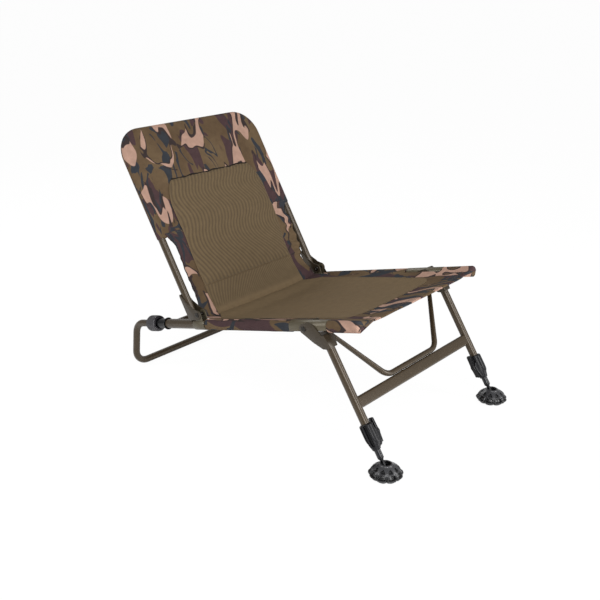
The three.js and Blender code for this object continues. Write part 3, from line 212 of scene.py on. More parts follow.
def grained(name, colour, mottle, gloss, gloss_spread, grain_size, relief, **principled):
    """A material from the grain group."""
    made, tree, shader = material(name, **principled)
    node = use_group(tree, grain, Colour=rgb(colour), Mottle=mottle, Gloss=gloss, Gloss_spread=gloss_spread,
                     Grain_size=grain_size)
    join(tree, node.outputs["Colour"], shader.inputs["Base Color"])
    join(tree, node.outputs["Roughness"], shader.inputs["Roughness"])
    bump(tree, shader, node.outputs["Height"], 0.25, relief)
    return made


# %% Paint and plastic
painted_tube = grained("painted_tube", "352c20", 0.06, 0.27, 0.02, 200.0, 0.000002, Metallic=0.2,
                       Specular_IOR_Level=0.3)
saddle_paint = grained("saddle_paint", "453f31", 0.12, 0.36, 0.04, 200.0, 0.00001, Metallic=0.25,
                       Specular_IOR_Level=0.3)
hinge_paint = grained("hinge_paint", "2f281e", 0.12, 0.32, 0.04, 200.0, 0.00001, Metallic=0.3, Specular_IOR_Level=0.3)
rivet_steel = grained("rivet_steel", "1d1a16", 0.05, 0.28, 0.04, 400.0, 0.00001, Metallic=0.6)
matt_plastic = grained("matt_plastic", "131315", 0.10, 0.36, 0.06, 700.0, 0.00003, Specular_IOR_Level=0.25)
gloss_plastic = grained("gloss_plastic", "070709", 0.05, 0.14, 0.02, 300.0, 0.000004, Specular_IOR_Level=0.2)
black_tube = grained("black_tube", "0d0e11", 0.05, 0.2, 0.02, 300.0, 0.000004, Specular_IOR_Level=0.3)
print("finishes:", [m.name for m in bpy.data.materials if m.users >= 0][:8])

# %% [markdown]
# The cloth is a woodland print: an olive ground with plum shadows, blue-black spikes and
# pinkish tan splashes with a dark outline. Each layer is a noise field cut at a level. A ribbon
# keeps only a thin band of a field, which gives the long curved splashes and hooks of the real
# print. All are read from the cloth's own UV map in metres, so the print bends with the cloth.

# %% Shared group: woodland print
camo, given, out = group("woodland_print", [("Place", "v", None)], [("Colour", "c"), ("Fray", "f")])


def field(tree, source, offset, scale, detail=1.0, distortion=0.5, stretch=(1.25, 0.60, 1.0)):
    """A noise field, offset and drawn out along the cloth."""
    placed = add(tree, "ShaderNodeMapping", label="offset and stretch")
    placed.inputs["Location"].default_value = offset
    placed.inputs["Scale"].default_value = stretch
    made = add(tree, "ShaderNodeTexNoise", Scale=scale, Detail=detail, Roughness=0.45, Distortion=distortion)
    join(tree, source, placed.inputs["Vector"])
    join(tree, placed.outputs[0], made.inputs["Vector"])
    return made.outputs[0]


def above(tree, value, level, soft=0.004):
    return step_mask(tree, value, level, level + soft)


def both(tree, a, b):
    return math_node(tree, "MULTIPLY", a, b)


def ribbon(tree, value, level, width):
    """A curved band of the field: 1 where it lies within width of a level."""
    gap = math_node(tree, "ABSOLUTE", math_node(tree, "SUBTRACT", value, level))
    return math_node(tree, "SUBTRACT", 1.0, above(tree, gap, width)), gap


cloth_place = given.outputs["Place"]
splash = field(camo, cloth_place, (1.9, 5.2, 0), 9.5, 1.2, 0.9)
broken = field(camo, cloth_place, (7.3, 2.2, 0), 13.0, 0.6, 0.3)
ground_mask = step_mask(camo, field(camo, cloth_place, (4.0, 1.0, 0), 9.0, 1.0, 0.0), 0.35, 0.65)
plum = above(camo, field(camo, cloth_place, (0.7, 2.3, 0), 12.0, 1.4, 0.9, (1.5, 0.5, 1.0)), 0.53, 0.012)
shade = above(camo, field(camo, cloth_place, (5.7, 8.3, 0), 17.0, 1.6, 1.2, (1.2, 0.7, 1.0)), 0.60)
bracket = field(camo, cloth_place, (3.1, 0.4, 0), 10.0, 1.6, 1.3)
pink, edge = ribbon(camo, splash, 0.545, 0.050)
pink = both(camo, pink, above(camo, broken, 0.512))
outline, _ = ribbon(camo, edge, 0.061, 0.011)
outline = both(camo, outline, above(camo, broken, 0.480))
hook, _ = ribbon(camo, bracket, 0.50, 0.020)
hook = both(camo, hook, above(camo, field(camo, cloth_place, (9.1, 3.4, 0), 12.0, 0.5, 0.2), 0.50))
colour = mix_colour(camo, ground_mask, rgb("463829"), rgb("4f4130"))
colour = mix_colour(camo, plum, colour, rgb("37292a"))
colour = mix_colour(camo, shade, colour, rgb("27292d"))
colour = mix_colour(camo, hook, colour, rgb("26282c"))
colour = mix_colour(camo, outline, colour, rgb("2a2322"))
colour = mix_colour(camo, pink, colour, rgb("866c5f"))
join(camo, colour, out.inputs["Colour"])
join(camo, pink, out.inputs["Fray"])

# %% Shared group: woven yarns
weave, given, out = group("woven_yarns", [("Place", "v", None), ("Yarns per metre", "f", 900.0)],
                          [("Height", "f"), ("Shade", "f")])
parts = add(weave, "ShaderNodeSeparateXYZ")
join(weave, given.outputs["Place"], parts.inputs[0])
waves = []
for axis in (0, 1):
    turn = math_node(weave, "MULTIPLY",
                     math_node(weave, "MULTIPLY", parts.outputs[axis], given.outputs["Yarns per metre"]), math.pi)
    waves.append(math_node(weave, "ABSOLUTE", math_node(weave, "SINE", turn)))
over = math_node(weave, "MAXIMUM", waves[0], waves[1])
join(weave, over, out.inputs["Height"])
mottle = add(weave, "ShaderNodeTexNoise", Scale=60.0, Detail=4.0)
join(weave, given.outputs["Place"], mottle.inputs["Vector"])
join(weave, mottle.outputs[0], out.inputs["Shade"])
print("cloth groups:", camo.name, weave.name)


# %% Camouflage cloth
def cloth_material(name):
    made, tree, shader = material(name, Roughness=0.9, Specular_IOR_Level=0.08)
    uv = add(tree, "ShaderNodeUVMap", uv_map="cloth").outputs[0]
    return made, tree, shader, uv


camo_cloth, tree, shader, uv = cloth_material("camo_cloth")
printed = use_group(tree, camo)
woven = use_group(tree, weave, Yarns_per_metre=850.0)
join(tree, uv, printed.inputs["Place"])
join(tree, uv, woven.inputs["Place"])
shade = add(tree, "ShaderNodeHueSaturation")
join(tree, printed.outputs["Colour"], shade.inputs["Color"])
join(tree, math_node(tree, "ADD", math_node(tree, "MULTIPLY", woven.outputs["Shade"], 0.5), 0.75),
     shade.inputs["Value"])
join(tree, shade.outputs[0], shader.inputs["Base Color"])
bump(tree, shader, woven.outputs["Height"], 0.35, 0.0003)

# %% [markdown]
# The panel is a spacer mesh, knitted in narrow ribs that wander from side to side up the back
# and fan out below the cross seam. One point attribute counts the ribs across the panel and
# another says where they are, since the seat part of the same mesh is plain.

# %% Ribbed mesh
mesh_cloth, tree, shader, uv = cloth_material("mesh_cloth")
parts = add(tree, "ShaderNodeSeparateXYZ")
join(tree, uv, parts.inputs[0])
ribbed = add(tree, "ShaderNodeAttribute", attribute_name="ribbed").outputs["Fac"]
number = add(tree, "ShaderNodeAttribute", attribute_name="rib_number").outputs["Fac"]
rib_turn = math_node(tree, "MULTIPLY", number, 2 * math.pi)
rib = math_node(tree, "ADD", math_node(tree, "MULTIPLY", math_node(tree, "COSINE", rib_turn), 0.5), 0.5)
rib = math_node(tree, "MULTIPLY", rib, ribbed)
woven = use_group(tree, weave, Yarns_per_metre=520.0)
join(tree, uv, woven.inputs["Place"])
tint = mix_colour(tree, rib, rgb("463b2d"), rgb("544734"))
tint = mix_colour(tree, ribbed, rgb("584a37"), tint)
shade = add(tree, "ShaderNodeHueSaturation")
join(tree, tint, shade.inputs["Color"])
join(tree, math_node(tree, "ADD", math_node(tree, "MULTIPLY", woven.outputs["Shade"], 0.3), 0.85),
     shade.inputs["Value"])
join(tree, shade.outputs[0], shader.inputs["Base Color"])
bump(tree, shader, woven.outputs["Height"], 0.3, 0.0004)

# Dark binding cloth for the strip edges. The same material also colours the cord at the top of the mesh, which is
# painted shade.
binding, tree, shader, uv = cloth_material("binding")
node = use_group(tree, grain, Colour=rgb("1c1916"), Mottle=0.1, Gloss=0.8, Gloss_spread=0.1, Grain_size=1500.0)
join(tree, node.outputs["Colour"], shader.inputs["Base Color"])
bump(tree, shader, node.outputs["Height"], 0.4, 0.0003)
thread = grained("thread", "3a3226", 0.1, 0.7, 0.1, 2500.0, 0.0001)
print("cloths:", camo_cloth.name, mesh_cloth.name, binding.name)

# %% [markdown]
# Each finished piece is a plain mesh at the origin. These helpers take points in millimetres
# in a welded frame's own axes, put them in place, and name the CAD body that carries them.


# %% Piece helpers
def shown(name, mesh, finish, body, nodes=(), smooth_deg=38):
    """A mesh in place becomes a piece that rides on a body and stands for CAD nodes."""
    for face in mesh.polygons:
        face.use_smooth = True
    mesh.set_sharp_from_angle(angle=math.radians(smooth_deg))
    mesh.materials.clear()
    mesh.materials.append(finish)
    mesh.name = name
    piece = bpy.data.objects.new(name, mesh)
    bpy.context.scene.collection.objects.link(piece)
    if body:
        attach(piece, body)
    if nodes:
        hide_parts(*nodes)
    return piece


def polygons(points, faces):
    mesh = bpy.data.meshes.new("shape")
    mesh.from_pydata([tuple(p) for p in points], [], [tuple(f) for f in faces])
    return mesh


def in_place(mesh, axes, shift=(0, 0, 0), outward=False):
    """Moves a mesh from a welded frame's axes to the chair's, with its faces outwards."""
    mesh.transform(axes @ Matrix.Translation(shift))
    if outward:
        work = bmesh.new()
        work.from_mesh(mesh)
        bmesh.ops.remove_doubles(work, verts=work.verts, dist=1e-6)
        bmesh.ops.recalc_face_normals(work, faces=work.faces)
        work.to_mesh(mesh)
        work.free()
    return mesh


def evaluated(piece):
    """The mesh that a piece's modifiers give, with the modifiers then removed."""
    graph = bpy.context.evaluated_depsgraph_get()
    mesh = bpy.data.meshes.new_from_object(piece.evaluated_get(graph), preserve_all_data_layers=True, depsgraph=graph)
    piece.modifiers.clear()
    return mesh


def broken_edges(mesh, width):
    holder = bpy.data.objects.new("holder", mesh)
    bpy.context.scene.collection.objects.link(holder)
    edge = holder.modifiers.new("Edge", "BEVEL")
    edge.width, edge.segments, edge.limit_method, edge.angle_limit = width, 2, "ANGLE", math.radians(40)
    made = evaluated(holder)
    bpy.data.objects.remove(holder)
    return made


def merged_copy(node, bevel=0.0):
    """A CAD node's mesh, welded, with flat faces made whole and its edges slightly broken."""
    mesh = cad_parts[node].data.copy()
    work = bmesh.new()
    work.from_mesh(mesh)
    bmesh.ops.remove_doubles(work, verts=work.verts, dist=2e-6)
    bmesh.ops.dissolve_limit(work, angle_limit=math.radians(1.0), verts=work.verts, edges=work.edges)
    work.to_mesh(mesh)
    work.free()
    return broken_edges(mesh, bevel) if bevel else mesh


# %% [markdown]
# Every tube follows the same rule: straight runs joined by round bends, a round section and
# closed ends. One Geometry Nodes tree makes them all from a few corner points, with the bend
# radius and tube radius as inputs, the way a tube bender is set.


# %% Geometry Nodes: bent tube
def geometry_tree(name, sockets):
    tree = bpy.data.node_groups.new(name, "GeometryNodeTree")
    tree.is_modifier = True
    tree.interface.new_socket("Geometry", in_out="INPUT", socket_type="NodeSocketGeometry")
    for key, kind, value in sockets:
        socket = tree.interface.new_socket(key, in_out="INPUT", socket_type="NodeSocket" + kind)
        if value is not None:
            socket.default_value = value
    tree.interface.new_socket("Geometry", in_out="OUTPUT", socket_type="NodeSocketGeometry")
    return tree, add(tree, "NodeGroupInput"), add(tree, "NodeGroupOutput")


bent_tube, given, out = geometry_tree("bent_tube",
    [("Tube radius", "Float", 9.5), ("Bend radius", "Float", 40.0), ("Sides", "Int", 32),
     ("Finish", "Material", None)])
line = add(bent_tube, "GeometryNodeMeshToCurve")
bend = add(bent_tube, "GeometryNodeFilletCurve")
bend.inputs["Limit Radius"].default_value = True
ring = add(bent_tube, "GeometryNodeCurvePrimitiveCircle", mode="RADIUS")
skin = add(bent_tube, "GeometryNodeCurveToMesh")
skin.inputs["Fill Caps"].default_value = True
real = add(bent_tube, "GeometryNodeRealizeInstances")
finish = add(bent_tube, "GeometryNodeSetMaterial")
join(bent_tube, given.outputs["Geometry"], line.inputs["Mesh"])
join(bent_tube, line.outputs[0], bend.inputs["Curve"])
if "Mode" in bend.inputs:
    bend.inputs["Mode"].default_value = "Poly"
else:
    bend.mode = "POLY"
bend.inputs["Count"].default_value = 18
join(bent_tube, given.outputs["Bend radius"], bend.inputs["Radius"])
join(bent_tube, given.outputs["Sides"], ring.inputs["Resolution"])
join(bent_tube, given.outputs["Tube radius"], ring.inputs["Radius"])
join(bent_tube, bend.outputs[0], skin.inputs["Curve"])
join(bent_tube, ring.outputs[0], skin.inputs["Profile Curve"])
join(bent_tube, skin.outputs[0], real.inputs[0])
join(bent_tube, real.outputs[0], finish.inputs["Geometry"])
join(bent_tube, given.outputs["Finish"], finish.inputs["Material"])
join(bent_tube, finish.outputs[0], out.inputs[0])


def grown(base, tree, **values):
    """The plain mesh that a Geometry Nodes tree makes from a base mesh."""
    holder = bpy.data.objects.new("holder", base)
    bpy.context.scene.collection.objects.link(holder)
    build = holder.modifiers.new("Build", "NODES")
    build.node_group = tree
    for item in tree.interface.items_tree:
        key = item.name.replace(" ", "_")
        if item.in_out == "INPUT" and key in values:
            build[item.identifier] = values[key]
    mesh = evaluated(holder)
    bpy.data.objects.remove(holder)
    return mesh


def tube(corners, radius, bend=40.0, sides=32, finish=None):
    base = bpy.data.meshes.new("line")
    base.from_pydata(corners, [(i, i + 1) for i in range(len(corners) - 1)], [])
    return grown(base, bent_tube, Tube_radius=radius, Bend_radius=bend, Sides=sides, Finish=finish or painted_tube)


# %% Tubes of the seat frame and the rear loop
RAIL_RADIUS, HOOP_RADIUS = 12.5, 9.5
for label, side in SIDES:
    rail = tube([(side * HALF, -500, 0), (side * HALF, 135, 0)], RAIL_RADIUS, sides=40)
    shown(f"side_rail_{label}", in_place(rail, SEAT), painted_tube, "seat_frame", [f"rail_{label}"])
spreader = tube([(-224, 110, 0), (224, 110, 0)], HOOP_RADIUS)
shown("spreader", in_place(spreader, SEAT), painted_tube, "seat_frame", ["rear_spreader"])
drop_turn = math.radians(7.4 + 14.66)
bar_back, bar_down = 274 + 128.5 * math.sin(drop_turn), -128.5 * math.cos(drop_turn)
loop = tube([(-HALF, -15, 0), (-HALF, 274, 0), (-HALF, bar_back, bar_down), (HALF, bar_back, bar_down),
             (HALF, 274, 0), (HALF, -15, 0)], HOOP_RADIUS, bend=42)
shown("ground_loop", in_place(loop, SEAT), painted_tube, "rear_stand", ["rear_loop"])
print("loop bar", round(bar_back), "mm behind the pivot")

# %% Tubes of the back and the legs
hoop = tube([(-HALF, 25, -1.4), (-HALF, 25, 500), (HALF, 25, 500), (HALF, 25, -1.4)], HOOP_RADIUS, bend=64)
shown("hoop", in_place(hoop, BACK), painted_tube, "back", ["back_hoop"])
LEG_Y, LEG_RADIUS = -36.3, 10.0
for label, side in SIDES:
    upper = tube([(side * HALF, LEG_Y, -286.2), (side * HALF, LEG_Y, -31.9)], LEG_RADIUS)
    shown(f"leg_tube_{label}", in_place(upper, LEG), painted_tube, "front_legs", [f"front_leg_{label}"])
    lower = tube([(side * HALF, LEG_Y, -325.2), (side * HALF, LEG_Y, -163)], 7.5, finish=black_tube)
    shown(f"inner_tube_{label}", in_place(lower, LEG), black_tube, f"inner_leg_{label}", [f"inner_leg_{label}"])
BRACE_END, BRACE_BASE = 217.5, -177.7
brace = tube([(-224, -19.3, -12), (-101.5, LEG_Y, BRACE_BASE), (101.5, LEG_Y, BRACE_BASE), (224, -19.3, -12)], 7.0,
             bend=40)
for corner in brace.vertices:
    corner.co.x = max(-BRACE_END, min(BRACE_END, corner.co.x))
shown("brace", in_place(brace, LEG), painted_tube, "front_legs", ["leg_brace"])

# %% [markdown]
# The leg locks and mud feet are moulded plastic. Their pockets look almost black, because little
# light finds its way out of them. A point attribute, written when a pocket is cut, says how deep
# each point lies, and the material's colour is darkened there: painted shade in the pockets.

# %% Black plastic with painted shade in its pockets
def moulded(name, colour, shine):
    made, tree, shader = material(name)
    peel = use_group(tree, grain, Colour=rgb(colour), Mottle=0.08, Gloss=0.32, Gloss_spread=0.03, Grain_size=500.0)
    pocket_shade = add(tree, "ShaderNodeAttribute", attribute_name="pocket_shade").outputs["Fac"]
    # Painted shade: the base colour goes towards black the deeper a point lies in a pocket.
    join(tree, mix_colour(tree, pocket_shade, peel.outputs["Colour"], rgb("040405")), shader.inputs["Base Color"])
    join(tree, peel.outputs["Roughness"], shader.inputs["Roughness"])
    bump(tree, shader, peel.outputs["Height"], 0.2, 0.00001)
    shader.inputs["Specular IOR Level"].default_value = shine
    return made


lock_plastic = moulded("lock_plastic", "111113", 0.16)
foot_plastic = moulded("foot_plastic", "262628", 0.42)
print("moulded:", lock_plastic.name, foot_plastic.name)

# %% [markdown]
# The crossbar is a round tube pressed flat, so its section is two half circles joined by
# straight sides. A lofted shape is simplest built directly: rings of points and the faces
# between them. The same helper serves turned pieces, whose radius may change round the turn.

# %% Lofts and turned pieces
def loft(rings, capped=True, closed=False):
    """Faces between equal rings of points."""
    count = len(rings[0])
    points = [p for ring in rings for p in ring]
    faces = []
    for j in range(len(rings) - (0 if closed else 1)):
        a, b = j * count, (j + 1) % len(rings) * count
        faces += [(a + i, a + (i + 1) % count, b + (i + 1) % count, b + i) for i in range(count)]
    if capped:
        faces += [tuple(range(count))[::-1], tuple(range((len(rings) - 1) * count, len(rings) * count))]
    return polygons(points, faces)


def turned(profile, steps=48, radius=None):
    """A turned piece about z from (radius, height) points. radius(turn, r, z) may cut flutes."""
    rings = []
    for r, z in profile:
        ring = []
        for i in range(steps):
            turn = 2 * math.pi * i / steps
            reach = radius(turn, r, z) if radius else r
            ring.append((reach * math.cos(turn), reach * math.sin(turn), z))
        rings.append(ring)
    if profile[0] == profile[-1]:
        return loft(rings[:-1], capped=False, closed=True)
    return loft(rings)


def rounded(points, steps=5):
    """A profile whose inner corners are eased by a short curve."""
    eased = [points[0]]
    for before, corner, after in zip(points, points[1:], points[2:]):
        a, b, c = Vector(before), Vector(corner), Vector(after)
        reach = min(1.2, (b - a).length / 2.2, (c - b).length / 2.2)
        start, end = b + (a - b).normalized() * reach, b + (c - b).normalized() * reach
        eased += [tuple(start.lerp(b, t).lerp(b.lerp(end, t), t)) for t in np.linspace(0, 1, steps)]
    return eased + [points[-1]]


def smooth(value, low, high):
    t = max(0.0, min(1.0, (value - low) / (high - low)))
    return t * t * (3 - 2 * t)


def between(value, *pairs):
    """Reads a curve given as (place, height) pairs."""
    return float(np.interp(value, [a for a, _ in pairs], [b for _, b in pairs]))


def cut_by(mesh, tool):
    """mesh without the space of a tool mesh."""
    a, b = bpy.data.objects.new("a", mesh), bpy.data.objects.new("b", tool)
    for holder in (a, b):
        bpy.context.scene.collection.objects.link(holder)
    knife = a.modifiers.new("Cut", "BOOLEAN")
    knife.object, knife.operation, knife.solver = b, "DIFFERENCE", "EXACT"
    made = evaluated(a)
    bpy.data.objects.remove(a)
    bpy.data.objects.remove(b)
    return made


def mark_pocket_shade(mesh, line):
    """Marks how deep each point of a turned piece lies below its outline, for the painted shade in the pockets."""
    depths = [between(v.co.z, *((z, r) for r, z in line)) - math.hypot(v.co.x, v.co.y) for v in mesh.vertices]
    mesh.attributes.new("pocket_shade", "FLOAT", "POINT").data.foreach_set("value",
                                                                   [smooth(depth, 0.9, 3.2) for depth in depths])
    return mesh


def side_cutter(outline, x, half, axes):
    """A plate seen from the side, with its y and z, as a cutting tool about x."""
    return in_place(loft([[(at, y, z) for y, z in outline] for at in (x - half, x + half)]), axes, outward=True)


section = []
for i in range(28):
    turn = 2 * math.pi * (i + 0.5) / 28
    section.append((6 * math.cos(turn), 6 * math.sin(turn) + math.copysign(8, math.sin(turn))))
bar = loft([[(x, LEG_Y + y, -199 + z) for y, z in section] for x in (-228, -110, 0, 110, 228)])
shown("crossbar", in_place(bar, LEG, outward=True), painted_tube, "front_legs", ["leg_crossbar"])

# %% [markdown]
# The hinges are pressed from sheet. A welded copy of each CAD shape gets broken edges, which
# catch the light as a real pressed edge does. Their outlines are trimmed a little to those of
# the photograph: the leg saddle has a shorter skirt, so the plug in the leg shows under it.

# %% Sheet hinges and saddles
RECLINE_TRIM = [(40, 80), (29, 62), (20.4, 40), (9, 25), (-1, 13.5), (-30, 13.5), (-30, 80)]
CHANNEL_TRIM = [(-18, 24), (-25, 6.5), (-33, -4), (-38.5, -19.8), (-42, -28.5), (-43.5, -30.3), (-80, -30.3),
                (-80, 24)]
SKIRT_TRIM = [(-460, -4.6), (-425, -5.2), (-395, -7.0), (-300, -9.0), (-300, -40), (-460, -40)]
for label, side in SIDES:
    for node, body, name, axes, outline in (("rear_saddle", "seat_frame", "recline_saddle", SEAT, None),
                                            ("front_saddle", "seat_frame", "leg_saddle", SEAT, SKIRT_TRIM),
                                            ("back_hinge", "back", "recline_hinge", BACK, RECLINE_TRIM),
                                            ("leg_hinge", "front_legs", "leg_channel", LEG, CHANNEL_TRIM)):
        copy = merged_copy(f"{node}_{label}")
        if outline:
            copy = cut_by(copy, side_cutter(outline, side * HALF, 30, axes))
        finish = saddle_paint if "saddle" in node else hinge_paint
        shown(f"{name}_{label}", broken_edges(copy, 0.0007), finish, body, [f"{node}_{label}"],
              smooth_deg=34)


# %% Rivets, caps and plugs
def rivet_profile(half):
    end = half + 2.7
    side = [(0.01, end - 1.6), (1.6, end - 1.5), (2.6, end - 0.2), (3.4, end), (4.8, end - 0.2), (6.0, end - 1.0),
            (6.5, half + 0.9),
            (6.5, half + 0.3), (4.0, half + 0.3)]
    return side + [(r, -z) for r, z in side[::-1]]


QUARTER_Y = Matrix.Rotation(math.pi / 2, 4, "Y")
for label, side in SIDES:
    for node, axes, half, body in (("back_rivet", BACK, 11.6, "back"), ("leg_rivet", LEG, 17.2, "front_legs")):
        pin = turned(rivet_profile(half), steps=28)
        pin.transform(Matrix.Translation((side * HALF, 0, 0)) @ QUARTER_Y)
        shown(f"{node}_head_{label}", in_place(pin, axes, outward=True), rivet_steel, body, [f"{node}_{label}"])
    cap = turned(rounded([(0.01, 2.5), (10.6, 2.5), (12.5, 1.3), (12.5, 0.3), (10.5, 0.3), (10.5, -15), (0.01, -15)]),
                 steps=40)
    cap.transform(Matrix.Translation((side * HALF, -500, 0)) @ Matrix.Rotation(math.pi / 2, 4, "X"))
    shown(f"rail_end_{label}", in_place(cap, SEAT, outward=True), matt_plastic, "seat_frame", [f"rail_cap_{label}"])
    for node, axes, y, z, turn, radius, body in (("hoop_plug", BACK, 25, -1.4, 0, 9.5, "back"),
                                                 ("leg_plug", LEG, LEG_Y, -31.9, math.pi, 10.0, "front_legs")):
        plug = turned(rounded([(0.01, -2.5), (radius * 0.86, -2.5), (radius, -1.4), (radius, -0.3),
                               (radius - 1.6, -0.3),
                               (radius - 1.6, 12), (0.01, 12)]), steps=32)
        plug.transform(Matrix.Translation((side * HALF, y, z)) @ Matrix.Rotation(turn, 4, "Y"))
        shown(f"{node}_{label}_end", in_place(plug, axes, outward=True), matt_plastic, body, [f"{node}_{label}"])

# %% [markdown]
# The twist lock has two parts: a glossy collet that stays in the rail, and a nut with fine grip
# ribs behind a polished front ring. The ribs are a change of radius round the turn, faded out at
# both ends. A point attribute tells the finish where the nut is polished.

# %% Twist locks
COLLET_START, NECK_END = 135, 176  # along the rail, behind the recline pivot
NUT_NOSE, POLISHED_END, GRIP_RIBS = -2.4, 1.6, 40
nut_plastic, tree, shader = material("nut_plastic", Specular_IOR_Level=0.35)
peel = use_group(tree, grain, Colour=rgb("252326"), Mottle=0.08, Gloss=0.46, Gloss_spread=0.1, Grain_size=900.0)
polished = add(tree, "ShaderNodeAttribute", attribute_name="polished").outputs["Fac"]
join(tree, peel.outputs["Colour"], shader.inputs["Base Color"])
gloss = math_node(tree, "SUBTRACT", peel.outputs["Roughness"], math_node(tree, "MULTIPLY", polished, 0.32))
join(tree, gloss, shader.inputs["Roughness"])
matt = math_node(tree, "SUBTRACT", 1.0, polished)
bump(tree, shader, math_node(tree, "MULTIPLY", peel.outputs["Height"], matt), 0.25, 0.0001)


def grip(turn, r, z):
    ribs = 0.5 + 0.5 * math.cos(turn * GRIP_RIBS)
    inside = max(0.0, min(1.0, (z - POLISHED_END - 1) / 1.5, (29.5 - z) / 2))
    return r - 0.8 * ribs * inside if r > 14 else r


nut_profile = [(10.2, 31), (16.0, 31), (19.0, 30.5), (20.8, 29.2), (21.5, 27), (21.5, 20), (21.5, 12), (21.5, 3.4),
               (21.2, 2.4),
               (20.7, 2.0), (20.9, 1.4), (21.0, 0.2), (20.7, -1.4), (19.6, -2.2), (17.6, NUT_NOSE), (14.2, NUT_NOSE),
               (14.2, 22), (10.2, 25),
               (10.2, 31)]
collet_profile = [(10.0, -28), (10.5, -28), (10.5, 0.3), (15.4, 0.3), (16.0, 1.0), (16.0, 3.0), (15.4, 3.9),
                  (13.6, 4.2), (13.5, 8),
                  (13.0, 18), (13.2, 30), (13.4, 41), (12.2, 56), (10.2, 61), (10.0, -28)]
for label, side in SIDES:
    to_rear = Matrix.Rotation(-math.pi / 2, 4, "X")
    nut = turned(nut_profile, steps=160, radius=grip)
    shine = nut.attributes.new("polished", "FLOAT", "POINT")
    for point, mark in zip(nut.vertices, shine.data):
        mark.value = 1.0 if point.co.z < POLISHED_END + 0.2 else 0.0
    nut.transform(Matrix.Translation((side * HALF, NECK_END, 0)) @ to_rear)
    shown(f"twist_nut_{label}", in_place(nut, SEAT, outward=True), nut_plastic, f"nut_{label}", [f"lock_nut_{label}"])
    collet = turned(collet_profile, steps=48)
    collet.transform(Matrix.Translation((side * HALF, COLLET_START, 0)) @ to_rear)
    shown(f"lock_collet_{label}", in_place(collet, SEAT, outward=True), gloss_plastic, "seat_frame",
          [f"collet_{label}"])

# %% [markdown]
# Leg locks. The housing is one turned shape whose radius depends on the turn: two deep flutes
# on its outer half, a smooth raised pad on each flank, and two cheeks that reach inwards. The
# lever's bay, its window and the bores of both tubes are then cut out of it.

# %% Leg locks
LOCK_HEAD, LOCK_END, LEVER_AXLE, LEG_END = -246.0, -308.0, -273.0, -286.2
CHEEK_HALF = 8.4


def lock_radius(turn, r, z):
    """The housing's radius, with its cheeks about turn 0."""
    degrees = (math.degrees(turn) + 180) % 360 - 180
    for centre in (156, -156):
        off = abs((degrees - centre + 180) % 360 - 180)
        started = smooth(z, LOCK_END + 5, LOCK_END + 12)
        r -= 3.7 * smooth(16.0 - off, 0, 3) * started * (1 - smooth(z, LOCK_HEAD - 4.5, LOCK_HEAD - 2.5))
    low = max(0.0, LEVER_AXLE - 2 - z) / 20
    pad = 1 - math.hypot((abs(degrees) - 96) / 36, low)
    r += 1.7 * smooth(pad, 0.0, 0.16) * (1 - smooth(z, LOCK_HEAD - 2.5, LOCK_HEAD - 0.5))
    reach = between(z, (-306, 1), (-302, 17.0), (-292, 21.5), (-280, 25.0), (-269, 25.0), (-263, 20.0), (-259, 1))
    if math.cos(turn) > 0.05:
        across, along = abs(math.sin(turn)) / CHEEK_HALF, math.cos(turn) / reach
        r = max(r, (across ** 8 + along ** 8) ** -0.125)
    return r


def bored(mesh, radius, low, high):
    return cut_by(mesh, in_place(turned([(radius, low), (radius, high)], steps=40), Matrix.Identity(4), outward=True))


def bay(mesh, low_x, high_x, half, low, high):
    corners = [(low_x, -half), (high_x, -half), (high_x, half), (low_x, half)]
    block = loft([[(x, y, z) for x, y in corners] for z in (low, high)])
    return cut_by(mesh, in_place(block, Matrix.Identity(4), outward=True))


lock_line = [(9.4, -308.0), (9.9, -307.2), (10.4, -305.0), (11.6, -300.0), (13.0, -294.0), (13.9, -288.0),
             (14.3, -281.0), (14.3, -262.0),
             (14.2, -250.0), (13.8, -247.2), (12.6, -246.0)]
levels = sorted({*np.linspace(LOCK_END, LOCK_HEAD, 48), *(z for _, z in lock_line)})
lock_profile = [(between(z, *((b, a) for a, b in lock_line)), float(z)) for z in levels]
housing = in_place(turned(lock_profile, steps=180, radius=lock_radius), Matrix.Identity(4), outward=True)
housing = bay(housing, 12.4, 40, 6.0, -320, -240)
housing = bay(housing, 0, 40, 3.3, -300.9, -289.0)
housing = bored(housing, 10.3, LEG_END - 0.3, -240)
housing = mark_pocket_shade(bored(housing, 7.9, -320, -280), lock_line)
for label, side in SIDES:
    facing = Matrix.Translation((side * HALF, LEG_Y, 0)) @ Matrix.Rotation(0.0 if side < 0 else math.pi, 4, "Z")
    copy = housing.copy()
    copy.transform(LEG @ facing)
    shown(f"lock_housing_{label}", copy, lock_plastic, "front_legs", [f"leg_lock_{label}"],
          smooth_deg=40)
    for node, body, name in (("lock_lever", f"lever_{label}", "squeeze_lever"),
                             ("lever_pin", "front_legs", "lever_axle")):
        copy = merged_copy(f"{node}_{label}", bevel=0.0009)
        shown(f"{name}_{label}", copy, gloss_plastic, body, [f"{node}_{label}"], smooth_deg=40)
    copy = merged_copy(f"foot_ball_{label}", bevel=0.0003)
    shown(f"ball_end_{label}", copy, gloss_plastic, f"inner_leg_{label}", [f"foot_ball_{label}"],
          smooth_deg=50)

# %% [markdown]
# The mud feet are low domes with nine round petals. Each petal has two pockets, one above the
# other, with thin ribs between, and a raised hub round the ball socket. The dome is one turned
# surface whose points sink where a pocket is. A ball and a slot are then cut out for the leg.

# %% Mud feet
PETALS = 9
FOOT_LINE = [(29.5, 0.0), (33.4, 1.4), (37.6, 4.4), (39.4, 7.4), (39.4, 10.0), (37.4, 14.0), (33.8, 18.0),
             (29.2, 21.8), (24.2, 25.4),
             (19.4, 28.4), (16.4, 30.2), (15.0, 31.4), (14.2, 32.6), (12.6, 33.2)]
FOOT_TURN = math.radians(-121.0)


